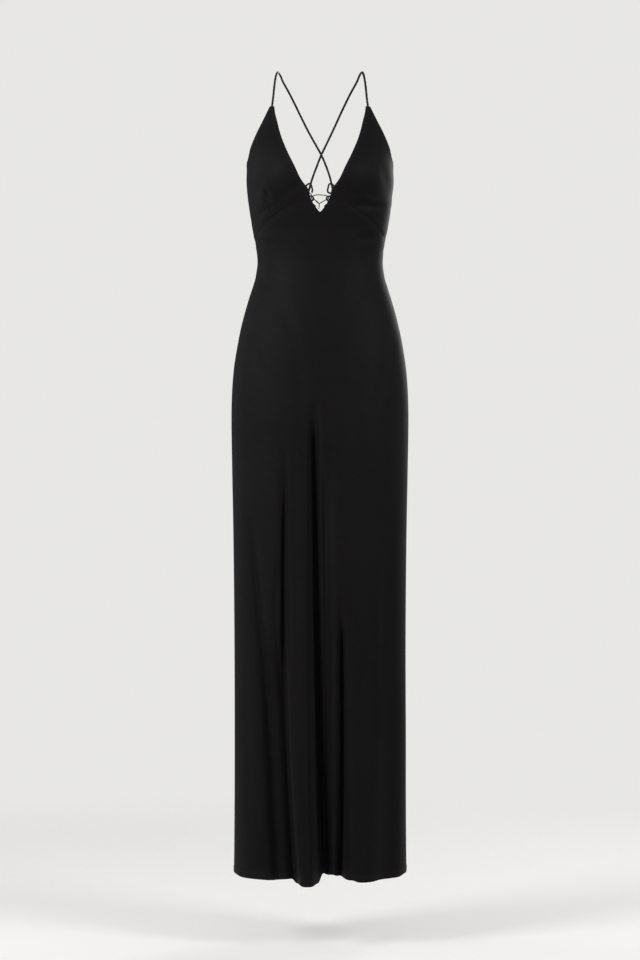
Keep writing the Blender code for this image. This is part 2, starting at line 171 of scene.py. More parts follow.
# %% Long folds of the skirt
HEM_HEIGHT = -1.474
Fold = namedtuple("Fold", "top top_x middle_x end_x left_width right_width flatness depth drop")
FRONT_FOLDS = table(
    Fold,
    (-0.628, -0.013, -0.005, 0.009, 0.012, 0.020, 2, 0.030, -0.007),
    (-0.840, -0.042, -0.040, -0.0215, 0.020, 0.021, 4, -0.010, 0.0095),
    (-0.700, -0.065, -0.0665, -0.047, 0.013, 0.009, 2, 0.013, 0.000),
    (-0.842, -0.122, -0.100, -0.080, 0.018, 0.015, 2, 0.010, 0.002),
    (-0.960, 0.036, 0.040, 0.039, 0.010, 0.010, 2, 0.016, -0.003),
    (-0.900, 0.090, 0.082, 0.078, 0.026, 0.026, 4, -0.005, 0.003),
    (-0.820, 0.126, 0.124, 0.121, 0.016, 0.018, 2, 0.008, 0.001),
)
BACK_FOLDS = table(
    Fold,
    (-0.700, 0.014, 0.020, 0.028, 0.018, 0.020, 2, 0.026, -0.003),
    (-0.860, 0.058, 0.062, 0.066, 0.022, 0.022, 4, -0.008, 0.004),
    (-0.780, -0.056, -0.064, -0.070, 0.018, 0.018, 2, 0.020, -0.002),
    (-0.900, -0.016, -0.020, -0.022, 0.024, 0.020, 4, -0.006, 0.003),
    (-0.940, 0.112, 0.108, 0.104, 0.016, 0.017, 2, 0.012, -0.001),
    (-1.020, -0.120, -0.116, -0.112, 0.018, 0.017, 2, 0.011, -0.001),
)


def fold_share(fold, height):
    """0 where a fold starts, 1 at the hem."""
    return np.clip((fold.top - height) / (fold.top - HEM_HEIGHT), 0.0, 1.0)


def line_profile(line, share, x):
    """1 on a line that runs from top_x past middle_x to end_x, falling off softly to each side."""
    bend = line.middle_x - (line.top_x + line.end_x) / 2
    centre = line.top_x + (line.end_x - line.top_x) * share + 4 * bend * share * (1 - share)
    away = x - centre
    width = np.where(away < 0, line.left_width, line.right_width)
    return np.exp(-(np.abs(away / width) ** line.flatness))


def folds_inward(folds, x, height):
    """How far the folds take the cloth in."""
    total = np.zeros(np.broadcast(x, height).shape)
    for fold in folds:
        share = fold_share(fold, height)
        total += fold.depth * np.sqrt(soft_step(share) * share) * line_profile(fold, share, x)
    return total


def hem_line(x, folds):
    """The hem hangs level apart from where the folds lift or lower it."""
    return HEM_HEIGHT - sum(fold.drop * line_profile(fold, 1.0, x) for fold in folds)


HemTouch = namedtuple("HemTouch", "x width lift")
HEM_TOUCHES = table(
    HemTouch,
    (-0.1560, 0.0080, 0.0030),
    (-0.0435, 0.0046, -0.0050),
    (-0.0020, 0.0036, -0.0045),
    (0.0055, 0.0040, 0.0034),
    (0.0240, 0.0080, 0.0045),
    (0.0590, 0.0080, 0.0032),
    (0.1560, 0.0080, 0.0040),
)


def touched_hem(x):
    """The front hem with the small lifts and dips that the ridge and the pleats give it."""
    return hem_line(x, FRONT_FOLDS) + sum(
        touch.lift * bell(x, touch.width, touch.x) for touch in HEM_TOUCHES)


print("folds:", len(FRONT_FOLDS), "in front,", len(BACK_FOLDS), "behind")

# %% [markdown]
# The darts give each cup its fullness, and near the side seams all relief dies out. With the
# rings, the folds and the fullness together, one function says how far the cloth stands from the
# side seam line at any place across and any height. Every later piece asks this function where
# the cloth is.

# %% Where the cloth is
CUP_FULLNESS = 0.013
CUP_CENTRE_X = 0.080
CUP_CENTRE_HEIGHT = -0.192
CUP_HALF_WIDTH = 0.050
CUP_HALF_HEIGHT = 0.056
SIDE_FADE = 0.22


def cloth_depth(x, height, front):
    """Distance of the outer face from the side seam line, ahead or behind."""
    half_width = ring(height, "half_width")
    square = ring(height, "squareness")
    across = np.minimum(np.abs(x) / half_width, 1.0)
    depth = ring(height, "front" if front else "back") * (1 - across**square) ** (1 / square)
    relief = -folds_inward(FRONT_FOLDS if front else BACK_FOLDS, x, height)
    if front:
        sideways = bell(np.abs(x), CUP_HALF_WIDTH, CUP_CENTRE_X)
        relief = relief + CUP_FULLNESS * sideways * bell(height, CUP_HALF_HEIGHT, CUP_CENTRE_HEIGHT)
    return depth + relief * soft_step((1 - across) / SIDE_FADE)


def across_at(turn, height):
    """The place across for a turn, which is 0 in the middle and -1 and 1 at the side seams."""
    sine = np.sin(turn * math.pi / 2)
    share = np.sign(sine) * np.abs(sine) ** (2 / ring(height, "squareness"))
    return ring(height, "half_width") * share


def turn_at(x, height):
    """The turn that across_at gives x for."""
    share = np.minimum(np.abs(x) / ring(height, "half_width"), 1.0)
    return np.sign(x) * np.arcsin(share ** (ring(height, "squareness") / 2)) * 2 / math.pi


print("front of the bust:", round(float(cloth_depth(0.08, -0.19, True)), 3), "m")

# %% [markdown]
# The cord comes first, because it is the one loose thing on the dress. A thin satin lace ties the
# keyhole: it runs through a loop on each side, its two arms cross, and each end carries a small
# metal bead. Its route is a list of places across, heights, and distances in front of the loops.
# The loops lie just behind the cloth. A curve through the points has no corners, as a limp cord
# has none.

# %% Routes of the lace and the loops
WALL = 0.0012
LOOP_DIAMETER = 0.0036
LACE_DIAMETER = 0.0018
BEAD_DIAMETER = 0.0038
CLEARANCE = 0.0003
LOOP_DEPTH = WALL + 0.0005 + LOOP_DIAMETER / 2
LACE_POINTS, LACE_SIDES = 150, 14
CURVE_STEPS = 24
LOOP_ROUTES = {
    "upper": ((0.0262, -0.2210), (0.0208, -0.2165), (0.0165, -0.2172), (0.0148, -0.2225),
              (0.0137, -0.2275), (0.0150, -0.2318), (0.0195, -0.2330), (0.0240, -0.2325)),
    "middle": ((0.0232, -0.2376), (0.0175, -0.2382), (0.0130, -0.2396), (0.0120, -0.2428),
               (0.0142, -0.2462), (0.0215, -0.2478)),
    "lower": ((0.0190, -0.2528), (0.0135, -0.2534), (0.0098, -0.2548), (0.0092, -0.2578),
              (0.0120, -0.2606), (0.0170, -0.2618)),
}
LACE_ROUTE = (
    (-0.0018, -0.2562, 0.0004),
    (-0.0014, -0.2530, 0.0000),
    (-0.0030, -0.2496, -0.0006),
    (-0.0070, -0.2462, -0.0022),
    (-0.0108, -0.2438, -0.0034),
    (-0.0143, -0.2432, -0.0030),
    (-0.0156, -0.2426, 0.0000),
    (-0.0150, -0.2408, 0.0032),
    (-0.0118, -0.2376, 0.0035),
    (-0.0060, -0.2362, 0.0022),
    (0.0000, -0.2362, 0.0018),
    (0.0060, -0.2366, 0.0022),
    (0.0118, -0.2378, 0.0035),
    (0.0150, -0.2408, 0.0032),
    (0.0156, -0.2426, 0.0000),
    (0.0143, -0.2432, -0.0030),
    (0.0108, -0.2442, -0.0034),
    (0.0060, -0.2474, -0.0014),
    (0.0014, -0.2500, 0.0012),
    (-0.0024, -0.2512, 0.0026),
    (-0.0066, -0.2480, 0.0040),
    (-0.0110, -0.2432, 0.0054),
    (-0.0142, -0.2388, 0.0062),
    (-0.0158, -0.2354, 0.0062),
)


def keyhole_point(x, height, forward):
    """A point near the keyhole, in front of the plane that the loops lie in."""
    return (x, -float(cloth_depth(x, height, True)) + LOOP_DEPTH - forward, height)


def distance_along(points):
    """Distance travelled to each point of a line."""
    return np.concatenate([[0], np.cumsum(np.linalg.norm(np.diff(points, axis=0), axis=1))])


def read_line(at, places, points):
    """Points of a line at these distances along it."""
    return np.stack([np.interp(at, places, points[:, axis]) for axis in range(3)], axis=-1)


def smooth_route(route, count):
    """Points at even steps along a curve with no corners through a route."""
    knots = np.array(route, float)
    knots = np.vstack([knots[0] * 2 - knots[1], knots, knots[-1] * 2 - knots[-2]])
    share = np.linspace(0, 1, CURVE_STEPS, endpoint=False)[:, None]
    fine = []
    for before, start, end, after in zip(knots, knots[1:], knots[2:], knots[3:]):
        fine.append(0.5 * (
            2 * start
            + (end - before) * share
            + (2 * before - 5 * start + 4 * end - after) * share**2
            + (3 * start - before - 3 * end + after) * share**3
        ))
    fine = np.vstack([*fine, knots[-2]])
    travelled = distance_along(fine)
    return read_line(np.linspace(0, travelled[-1], count), travelled, fine)


def route_length(points):
    return float(np.linalg.norm(np.diff(points, axis=0), axis=1).sum())


lace_points = smooth_route([keyhole_point(*place) for place in LACE_ROUTE], LACE_POINTS)
print("lace:", round(route_length(lace_points) * 1000, 1), "mm long")

# %% [markdown]
# A tube is a ring of points carried along a route. Turning each ring as little as possible from
# the one before keeps a lengthwise seam from winding round by accident. A small change of radius
# round the ring draws what makes each cord itself: the two plies of a twisted lace, or the sewn
# line of a rouleau.

# %% A tube along a route
END_BULGE = 0.4


def carried_rings(points, start_side):
    """For each point: its direction, and two sides of the ring that turn as little as possible."""
    directions = np.gradient(points, axis=0)
    directions /= np.linalg.norm(directions, axis=1)[:, None]
    side = np.array(start_side, float)
    sides = []
    for direction in directions:
        side = side - direction * side.dot(direction)
        side /= np.linalg.norm(side)
        sides.append(side)
    sides = np.array(sides)
    return directions, sides, np.cross(directions, sides)


def mesh_piece(name, points, faces):
    """A smooth mesh object in metres."""
    mesh = bpy.data.meshes.new(name)
    mesh.from_pydata(np.asarray(points).tolist(), [], faces)
    mesh.shade_smooth()
    piece = bpy.data.objects.new(name, mesh)
    scene.collection.objects.link(piece)
    return piece


def lay_grain(piece, across, along):
    """Keeps the place of each point on the flat cloth, in metres, for the weave of the material."""
    layer = piece.data.uv_layers.new(name="grain")
    corners = np.empty(len(piece.data.loops), np.int32)
    piece.data.loops.foreach_get("vertex_index", corners)
    flat = np.stack([np.ravel(across)[corners], np.ravel(along)[corners]], axis=1)
    layer.data.foreach_set("uv", flat.astype(np.float32).ravel())


def ring_faces(rings, sides, first=0):
    """Four-sided faces between rings of points that follow each other."""
    return [
        (first + row * sides + step, first + row * sides + (step + 1) % sides,
         first + (row + 1) * sides + (step + 1) % sides, first + (row + 1) * sides + step)
        for row in range(rings - 1) for step in range(sides)
    ]


def tube(name, points, radius, sides, shape, start_side=(0, 1, 0)):
    """A closed tube. shape(angle, distance) gives the radius as a share of the nominal one."""
    points = np.asarray(points)
    directions, first, second = carried_rings(points, start_side)
    angle = np.linspace(0, 2 * math.pi, sides, endpoint=False)[None, :]
    distance = distance_along(points)[:, None]
    reach = (radius * shape(angle, distance))[:, :, None]
    rings = points[:, None] + reach * (
        np.cos(angle)[:, :, None] * first[:, None] + np.sin(angle)[:, :, None] * second[:, None]
    )
    bulge = radius * END_BULGE
    ends = np.array([points[0] - directions[0] * bulge, points[-1] + directions[-1] * bulge])
    count = len(points)
    faces = ring_faces(count, sides)
    for step in range(sides):
        after = (step + 1) % sides
        faces.append((count * sides, after, step))
        faces.append((count * sides + 1, (count - 1) * sides + step, (count - 1) * sides + after))
    piece = mesh_piece(name, np.vstack([rings.reshape(-1, 3), ends]), faces)
    across = np.broadcast_to(angle * radius, (count, sides)).ravel()
    along = np.broadcast_to(distance, (count, sides)).ravel()
    lay_grain(piece, np.append(across, [0, 0]), np.append(along, [0, distance[-1, 0]]))
    return piece


LACE_TWIST = 0.0042


def two_plies(angle, distance):
    """Two strands laid round each other."""
    return 0.93 + 0.07 * np.cos(2 * (angle - distance * 2 * math.pi / LACE_TWIST))


lace = tube("dress_lace", lace_points, LACE_DIAMETER / 2, LACE_SIDES, two_plies)
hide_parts("lace")
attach(lace, "root")
print("lace faces:", len(lace.data.polygons))

# %% [markdown]
# Each bead is a small turned metal barrel with rounded ends and a groove near each rim, crimped
# on the cord. A profile spun round the line of the cord gives it.

# %% Beads on the lace
BEAD_SIDES = 24
BEAD_PROFILE = (
    (-1.18, 0.46), (-1.20, 0.60), (-1.08, 0.74), (-0.94, 0.78), (-0.84, 0.70), (-0.74, 0.80),
    (-0.42, 0.96), (0.0, 1.0), (0.42, 0.96), (0.74, 0.80), (0.84, 0.70), (0.94, 0.78), (1.08, 0.74),
    (1.20, 0.60), (1.18, 0.46),
)


def spun_rings(middle, axis, first, second, profile, radius, sides):
    """Rings about an axis. A row of the profile is a place along it and a share of the radius."""
    turns = [2 * math.pi * step / sides for step in range(sides)]
    return [
        middle + axis * along + radius * reach * (math.cos(turn) * first + math.sin(turn) * second)
        for along, reach in profile for turn in turns
    ]


def turned_bead(name, centre, outward):
    """A barrel on the cord's own line."""
    outward = np.asarray(outward) / np.linalg.norm(outward)
    radius = BEAD_DIAMETER / 2
    side = np.cross(outward, (0.3, 1.0, 0.2))
    side /= np.linalg.norm(side)
    other = np.cross(outward, side)
    points = spun_rings(
        np.asarray(centre), outward * radius, side, other, BEAD_PROFILE, radius, BEAD_SIDES)
    faces = ring_faces(len(BEAD_PROFILE), BEAD_SIDES)
    faces.append(tuple(range(BEAD_SIDES))[::-1])
    faces.append(tuple(range(len(points) - BEAD_SIDES, len(points))))
    bead = mesh_piece(name, points, faces)
    rounded = bead.modifiers.new("Rounded", "SUBSURF")
    rounded.levels = rounded.render_levels = 1
    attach(bead, "root")
    return bead


beads = []
for place, last, before in (("lower", 0, 1), ("upper", -1, -2)):
    end = lace_points[last]
    outward = (end - lace_points[before]) / np.linalg.norm(end - lace_points[before])
    centre = end + outward * (BEAD_DIAMETER / 2 + CLEARANCE)
    bead = turned_bead("dress_bead_" + place, centre, outward)
    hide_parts("bead_" + place)
    beads.append(bead)
print("beads:", len(beads))

# %% [markdown]
# Straps and loops are rouleau: a bias strip sewn into a tube and turned right side out. It is
# slightly flat, and its sewn line runs along it as a shallow groove. The straps go over the
# shoulders, cross behind, and end inside the edge of the low back. Below the shoulders both hang
# 3 mm off centre.

# %% Straps and loops
STRAP_DIAMETER = 0.0044
STRAP_POINTS, STRAP_SIDES = 220, 20
LOOP_POINTS, LOOP_SIDES = 44, 16
GROOVE_PLACE, GROOVE_WIDTH, GROOVE_DEPTH = math.pi * 1.5, 0.32, 0.09
ROULEAU_WAVES = ((0.012, 311, 0.0), (0.008, 743, 1.3))
STRAP_ROUTE = (
    (0.0852, -0.0500, -0.0520),
    (0.0836, -0.0420, -0.0330),
    (0.0812, -0.0270, -0.0130),
    (0.0786, -0.0100, -0.0020),
    (0.0757, 0.0070, -0.0004),
    (0.0722, 0.0190, -0.0050),
    (0.0683, 0.0340, -0.0128),
    (0.0565, 0.0530, -0.0320),
    (0.0454, 0.0675, -0.0525),
    (0.0347, 0.0780, -0.0737),
    (0.0239, 0.0855, -0.0955),
    (0.0122, 0.0900, -0.1177),
    (0.0000, 0.0920, -0.1410),
    (-0.0089, 0.0915, -0.1627),
    (-0.0169, 0.0895, -0.1855),
    (-0.0225, 0.0870, -0.2082),
    (-0.0285, 0.0835, -0.2350),
    (-0.0345, 0.0795, -0.2630),
)
STRAP_CROSSING = -0.1410
STRAP_CROSSING_REACH = 0.050
STRAP_LEAN = 0.0028
STRAP_LEAN_HEIGHT = -0.165
STRAP_LEAN_REACH = 0.060
STRAP_FRONT = (0.0873, -0.0700)
STRAP_BACK_X = 0.0400
STRAP_CAUGHT = 0.008
STRAP_DEPTH = WALL + CLEARANCE + 0.56 * STRAP_DIAMETER + 0.0004
LOW_BACK_EDGE = (
    (0, -0.3000), (15, -0.2950), (30, -0.2810), (50, -0.2500), (70, -0.2120), (90, -0.1755))


def low_back_height(turn):
    """Height of the top edge of the back, for a turn from the centre back."""
    degrees, heights = zip(*LOW_BACK_EDGE)
    return read_table(degrees, heights, np.abs(turn) * 90)


def rouleau_shape(angle, distance):
    """Slightly flat, with a shallow groove along the sewn line."""
    groove = GROOVE_DEPTH * bell(angle, GROOVE_WIDTH, GROOVE_PLACE)
    uneven = sum(size * np.sin(distance * often + start) for size, often, start in ROULEAU_WAVES)
    return 0.965 + 0.025 * np.cos(2 * angle) - groove + uneven


def strap_route(sign):
    """The way of one strap: from inside the cup's point, over the shoulder, to the low back."""
    front_x, cup_top = STRAP_FRONT
    front_y = -float(cloth_depth(front_x, cup_top, True)) + STRAP_DEPTH
    back_top = float(low_back_height(turn_at(STRAP_BACK_X, LOW_BACK_EDGE[2][1])))
    back_y = float(cloth_depth(STRAP_BACK_X, back_top, False)) - STRAP_DEPTH
    route = [(front_x, front_y, cup_top - STRAP_CAUGHT), (front_x, front_y, cup_top), *STRAP_ROUTE,
             (-STRAP_BACK_X, back_y, back_top), (-STRAP_BACK_X, back_y, back_top - STRAP_CAUGHT)]
    points = smooth_route(route, STRAP_POINTS)
    near_crossing = bell(points[:, 2], STRAP_CROSSING_REACH, STRAP_CROSSING)
    pass_by = sign * (STRAP_DIAMETER + CLEARANCE) / 2 * near_crossing
    lean = STRAP_LEAN * bell(points[:, 2], STRAP_LEAN_REACH, STRAP_LEAN_HEIGHT)
    behind = points[:, 1] > 0
    points[:, 0] = sign * points[:, 0] + np.where(behind, lean, 0)
    points[:, 1] += np.where(behind, pass_by, 0)
    return points


rouleau_pieces = []
for side, sign in (("left", 1), ("right", -1)):
    strap = tube("dress_strap_" + side, strap_route(sign), STRAP_DIAMETER / 2, STRAP_SIDES,
                 rouleau_shape, (0, 0, 1))
    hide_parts("strap_" + side)
    rouleau_pieces.append(strap)
    for place, route in LOOP_ROUTES.items():
        path = [keyhole_point(sign * x, height, 0.0) for x, height in route]
        loop = tube(f"dress_loop_{place}_{side}", smooth_route(path, LOOP_POINTS),
                    LOOP_DIAMETER / 2, LOOP_SIDES, rouleau_shape)
        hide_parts(f"loop_{place}_{side}")
        rouleau_pieces.append(loop)
for piece in rouleau_pieces:
    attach(piece, "root")
print("strap length:", round(route_length(strap_route(1)), 3), "m")
print("rouleau pieces:", len(rouleau_pieces))

# %% [markdown]
# The pattern has two cups, a front and a back. Short tables give their edges: the keyhole point,
# the curved seam under the bust, and the cup's inner and outer edges, row by row. A cup runs from
# the strap point, where it is 8 mm wide, down to the whole seam under the bust.

# %% Edges of the pattern
SIDE_SEAM = None
CUP_ROWS = (
    (0.0835, -0.0700, 0.0915, -0.0700),
    (0.0817, -0.0840, 0.0985, -0.0840),
    (0.0779, -0.0990, 0.1065, -0.1000),
    (0.0743, -0.1145, 0.1150, -0.1160),
    (0.0697, -0.1300, 0.1225, -0.1320),
    (0.0641, -0.1450, 0.1288, -0.1480),
    (0.0578, -0.1600, 0.1325, -0.1630),
    (0.0505, -0.1750, SIDE_SEAM, -0.1755),
    (0.0432, -0.1895, SIDE_SEAM, -0.1970),
    (0.0361, -0.2040, SIDE_SEAM, -0.2220),
    (0.0275, -0.2165, SIDE_SEAM, -0.2470),
    (0.0215, -0.2245, SIDE_SEAM, -0.2680),
    (0.0190, -0.2345, SIDE_SEAM, -0.2900),
    (0.0165, -0.2435, SIDE_SEAM, -0.3120),
)
KEYHOLE_POINT = (
    (0.0000, -0.2670), (0.0040, -0.2632), (0.0075, -0.2585), (0.0110, -0.2540), (0.0140, -0.2485),
    (0.0165, -0.2435),
)
UNDER_BUST_SEAM = (
    (0.0165, -0.2435), (0.0307, -0.2470), (0.0540, -0.2555), (0.0770, -0.2680), (0.0950, -0.2807),
    (0.1060, -0.2905), (0.1150, -0.3010), (0.1205, -0.3120),
)


def under_bust_height(turn):
    """Height of the seam under the bust, for a turn from the centre front."""
    turns = [float(turn_at(x, height)) for x, height in UNDER_BUST_SEAM]
    return read_table(turns, [height for x, height in UNDER_BUST_SEAM], np.abs(turn))


print("seam meets the side at", UNDER_BUST_SEAM[-1][1], "m")

# %% [markdown]
# Thin cloth shows far more than its long folds. It drags from the fullness of the bust to the
# side seams, dents above the waist, and pulls gently at the hips, and no two of these are alike.
# Each is listed one by one: where it is, how its line leans from upright, how long and wide it is,
# and how deep. A trough has a soft ridge beside it, because the cloth that it takes in is pushed
# up there.
#
# The skirt's main troughs have a narrow steep pleat at their bottom, which the camera sees as a
# dark line. A pleat opens quickly at its top, bends once, and may be steeper on one side. Its
# depth is given near the top and at its end, and a negative depth is a narrow ridge.

# %% Listed creases
Crease = namedtuple("Crease", "x height lean length width depth")
FRONT_CREASES = table(
    Crease,
    (0.096, -0.309, -102, 0.026, 0.0070, 0.0022),
    (0.100, -0.335, 66, 0.020, 0.0060, 0.0011),
    (-0.104, -0.318, -70, 0.020, 0.0060, 0.0012),
    (-0.097, -0.394, -58, 0.020, 0.0052, 0.0016),
    (-0.088, -0.372, -48, 0.028, 0.0080, 0.0010),
    (0.098, -0.398, 52, 0.024, 0.0070, 0.0013),
    (0.070, -0.420, 34, 0.040, 0.0110, 0.0010),
    (-0.064, -0.450, -24, 0.055, 0.0120, 0.0011),
    (-0.118, -0.520, -16, 0.060, 0.0090, 0.0014),
    (0.120, -0.545, 14, 0.070, 0.0100, 0.0013),
    (0.060, -0.610, 9, 0.090, 0.0140, 0.0014),
    (-0.030, -0.640, -6, 0.110, 0.0120, 0.0016),
    (-0.110, -1.050, -5, 0.170, 0.0100, 0.0022),
    (-0.132, -1.220, -3, 0.130, 0.0090, 0.0015),
    (0.084, -1.120, 2, 0.180, 0.0120, 0.0015),
    (0.116, -1.000, 3, 0.150, 0.0095, 0.0019),
    (0.137, -1.250, 2, 0.120, 0.0085, 0.0014),
)
BACK_CREASES = table(
    Crease,
    (0.070, -0.330, 62, 0.030, 0.0070, 0.0018),
    (-0.078, -0.342, -66, 0.026, 0.0065, 0.0020),
    (-0.040, -0.352, -80, 0.034, 0.0075, 0.0014),
    (0.024, -0.372, 84, 0.036, 0.0080, 0.0015),
    (0.098, -0.392, 48, 0.026, 0.0065, 0.0014),
    (-0.094, -0.402, -44, 0.030, 0.0075, 0.0013),
    (0.050, -0.452, 26, 0.048, 0.0110, 0.0012),
    (-0.066, -0.470, -30, 0.040, 0.0100, 0.0012),
    (0.112, -0.640, 10, 0.080, 0.0110, 0.0014),
    (-0.108, -0.700, -8, 0.090, 0.0120, 0.0015),
    (0.004, -0.690, 2, 0.060, 0.0100, 0.0017),
    (0.084, -1.190, -2, 0.160, 0.0090, 0.0018),
    (-0.022, -1.280, 1, 0.120, 0.0080, 0.0016),
    (0.128, -1.180, 3, 0.160, 0.0095, 0.0017),
    (-0.134, -1.060, -2, 0.140, 0.0090, 0.0016),
)
Pleat = namedtuple(
    "Pleat", "top end top_x middle_x end_x left_width right_width flatness depth end_depth quick")
FRONT_PLEATS = table(
    Pleat,
    (-0.595, -1.474, -0.0125, -0.0075, -0.0035, 0.0086, 0.0085, 2, 0.0180, 0.0180, 0.12),
    (-0.680, -1.474, 0.0050, 0.0105, 0.0120, 0.0040, 0.0125, 2, 0.0100, 0.0060, 0.20),
    (-1.100, -1.474, 0.0170, 0.0180, 0.0190, 0.0070, 0.0060, 2, -0.0030, -0.0070, 0.60),
    (-0.670, -1.474, -0.0605, -0.0610, -0.0400, 0.0072, 0.0034, 2, 0.0110, 0.0120, 0.24),
    (-0.860, -1.190, -0.0700, -0.0790, -0.0600, 0.0060, 0.0045, 2, 0.0045, 0.0000, 0.40),
    (-0.955, -1.474, 0.0375, 0.0402, 0.0366, 0.0062, 0.0046, 2, 0.0220, 0.0200, 0.30),
    (-0.780, -1.474, -0.1270, -0.0970, -0.0640, 0.0095, 0.0110, 2, 0.0100, 0.0000, 0.25),
    (-1.000, -1.474, -0.0850, -0.0720, -0.0580, 0.0270, 0.0190, 4, 0.0150, 0.0180, 0.35),
    (-0.800, -1.474, 0.1330, 0.1320, 0.1340, 0.0100, 0.0070, 2, 0.0018, 0.0014, 0.25),
    (-0.640, -1.010, 0.0200, 0.0220, 0.0260, 0.0080, 0.0080, 2, 0.0020, 0.0000, 0.40),
)
BACK_PLEATS = table(
    Pleat,
    (-0.700, -1.474, 0.0150, 0.0205, 0.0280, 0.0070, 0.0110, 2, 0.0150, 0.0100, 0.20),
    (-0.790, -1.474, -0.0570, -0.0640, -0.0690, 0.0090, 0.0042, 2, 0.0130, 0.0090, 0.26),
    (-0.930, -1.474, 0.1100, 0.1080, 0.1050, 0.0080, 0.0060, 2, 0.0070, 0.0050, 0.35),
    (-1.010, -1.474, -0.1190, -0.1160, -0.1120, 0.0060, 0.0080, 2, 0.0060, 0.0050, 0.35),
    (-0.900, -1.300, -0.0180, -0.0160, -0.0100, 0.0060, 0.0050, 2, 0.0040, 0.0000, 0.40),
)
CUP_CREASES = table(
    Crease,
    (-0.0965, -0.2340, 162, 0.012, 0.0046, 0.0030),
    (-0.0905, -0.2560, 167, 0.020, 0.0028, 0.0008),
    (-0.1100, -0.2660, 64, 0.020, 0.0060, 0.0011),
    (-0.1120, -0.2180, 24, 0.030, 0.0075, 0.0012),
    (-0.0560, -0.2300, 52, 0.024, 0.0070, 0.0006),
    (0.0930, -0.2640, 15, 0.016, 0.0030, 0.0007),
    (0.0905, -0.2530, -92, 0.023, 0.0062, 0.0038),
    (0.1080, -0.2380, 72, 0.022, 0.0060, 0.0014),
    (0.1170, -0.1980, -20, 0.032, 0.0080, 0.0011),
    (0.0620, -0.2330, -48, 0.026, 0.0070, 0.0007),
)
RIDGE_SHARE = 0.45
RIDGE_PLACE = 1.7
PLEAT_CLOSES = 0.35
RIPPLE_DEPTH = 0.00042
RIPPLES = ((1.0, 61, 2.3, 0.7), (0.7, 97, -3.1, 2.1), (0.5, 151, 5.2, 4.0))


def creases_inward(creases, x, height):
    """How far the creases take the cloth in, with the ridge beside each."""
    total = np.zeros(np.broadcast(x, height).shape)
    for crease in creases:
        lean = math.radians(crease.lean)
        along = (x - crease.x) * math.sin(lean) + (height - crease.height) * math.cos(lean)
        aside = (x - crease.x) * math.cos(lean) - (height - crease.height) * math.sin(lean)
        ridge = RIDGE_SHARE * bell(aside / crease.width, 1.0, RIDGE_PLACE)
        total += crease.depth * bell(along, crease.length) * (bell(aside, crease.width) - ridge)
    return total


def pleats_inward(pleats, x, height):
    """How far the pleats take the cloth in. quick is the share of its length that one opens in."""
    total = np.zeros(np.broadcast(x, height).shape)
    for pleat in pleats:
        share = (pleat.top - height) / (pleat.top - pleat.end)
        along = np.clip(share, 0, 1)
        depth = pleat.depth + (pleat.end_depth - pleat.depth) * along
        depth = depth * soft_step(share / pleat.quick)
        if pleat.end > HEM_HEIGHT:
            depth = depth * soft_step((1 - share) / PLEAT_CLOSES)
        total += depth * line_profile(pleat, along, x)
    return total


def slow_ripple(x, height):
    """Cloth is never quite even: long low waves that grow toward the hem."""
    grow = 0.25 + 0.75 * soft_step((-0.45 - height) / 0.8)
    wave = sum(
        share * np.sin(x * over + height * down + start) for share, over, down, start in RIPPLES)
    return RIPPLE_DEPTH * grow * wave


print("creases:", len(FRONT_CREASES) + len(BACK_CREASES) + len(CUP_CREASES))

# %% [markdown]
# Each edge of a pattern piece has its own finish. A seam pulls its edge down. A tucked edge goes
# under its neighbour, so that no light comes through the seam. A rolled edge is turned and
# pressed into a small soft bead, and a hem is a turned band. The seam mark tells the material
# where cloth is pressed. The material paints those places lighter, which is a painted highlight
# along the seams, the rolled edges and the hem band, and it also gives them a smoother gloss.

# %% Finish of an edge
CLOTH_THICKNESS = 0.0009
SEAM_PULL, SEAM_REACH = 0.0008, 0.0016
# The mark sizes below set how strong and how wide the painted highlight is along seams, rolled
# edges and the hem band.
SEAM_SHEEN, SEAM_SHEEN_REACH = 0.3, 0.007
TUCK_CLEARANCE, SEAM_STEP, STEP_REACH = 0.0004, 0.0005, 0.012
ROLL_RISE, ROLL_PLACE, ROLL_REACH = 0.0004, 0.0030, 0.0022
ROLL_DROP, ROLL_EDGE, ROLL_SHEEN_REACH = 0.0005, 0.0012, 0.006
HEM_RISE, HEM_TOP, HEM_FADE = 0.00045, 0.0105, 0.003
HEM_DROP, HEM_EDGE = 0.0004, 0.0014
HEM_SHEEN, HEM_SHEEN_TOP, HEM_SHEEN_FADE = 0.8, 0.011, 0.004
OUTER_LINE = {"top": np.s_[:1], "first": np.s_[:, :1], "last": np.s_[:, -1:]}
SEWN_LINE = {"top": np.s_[1:2], "first": np.s_[:, 1:2], "last": np.s_[:, -2:-1]}


def finish_edge(relief, seam_sheen_mark, away, side, finish):
    """The relief and the seam mark with one edge finished. away is the distance from that edge."""
    if finish == "tucked":
        away = np.maximum(away - away[SEWN_LINE[side]], 0)
        relief[OUTER_LINE[side]] -= CLOTH_THICKNESS + TUCK_CLEARANCE
        relief -= SEAM_STEP * (1 - soft_step(away / STEP_REACH))
    if finish == "seam":
        relief -= SEAM_PULL * bell(away, SEAM_REACH)
    # This mark is painted into the colour as a lighter tone: a painted highlight on seams, rolled
    # edges and the hem band.
    if finish in ("seam", "tucked"):
        press_sheen = SEAM_SHEEN * bell(away, SEAM_SHEEN_REACH)
    elif finish == "rolled":
        relief += ROLL_RISE * bell(away, ROLL_REACH, ROLL_PLACE) - ROLL_DROP * bell(away, ROLL_EDGE)
        press_sheen = bell(away, ROLL_SHEEN_REACH)
    else:
        turned_up = HEM_RISE * (1 - soft_step((away - HEM_TOP) / HEM_FADE))
        relief += turned_up - HEM_DROP * bell(away, HEM_EDGE)
        press_sheen = HEM_SHEEN * (1 - soft_step((away - HEM_SHEEN_TOP) / HEM_SHEEN_FADE))
    return relief, np.maximum(seam_sheen_mark, press_sheen)


print("cloth thickness:", CLOTH_THICKNESS * 1000, "mm")

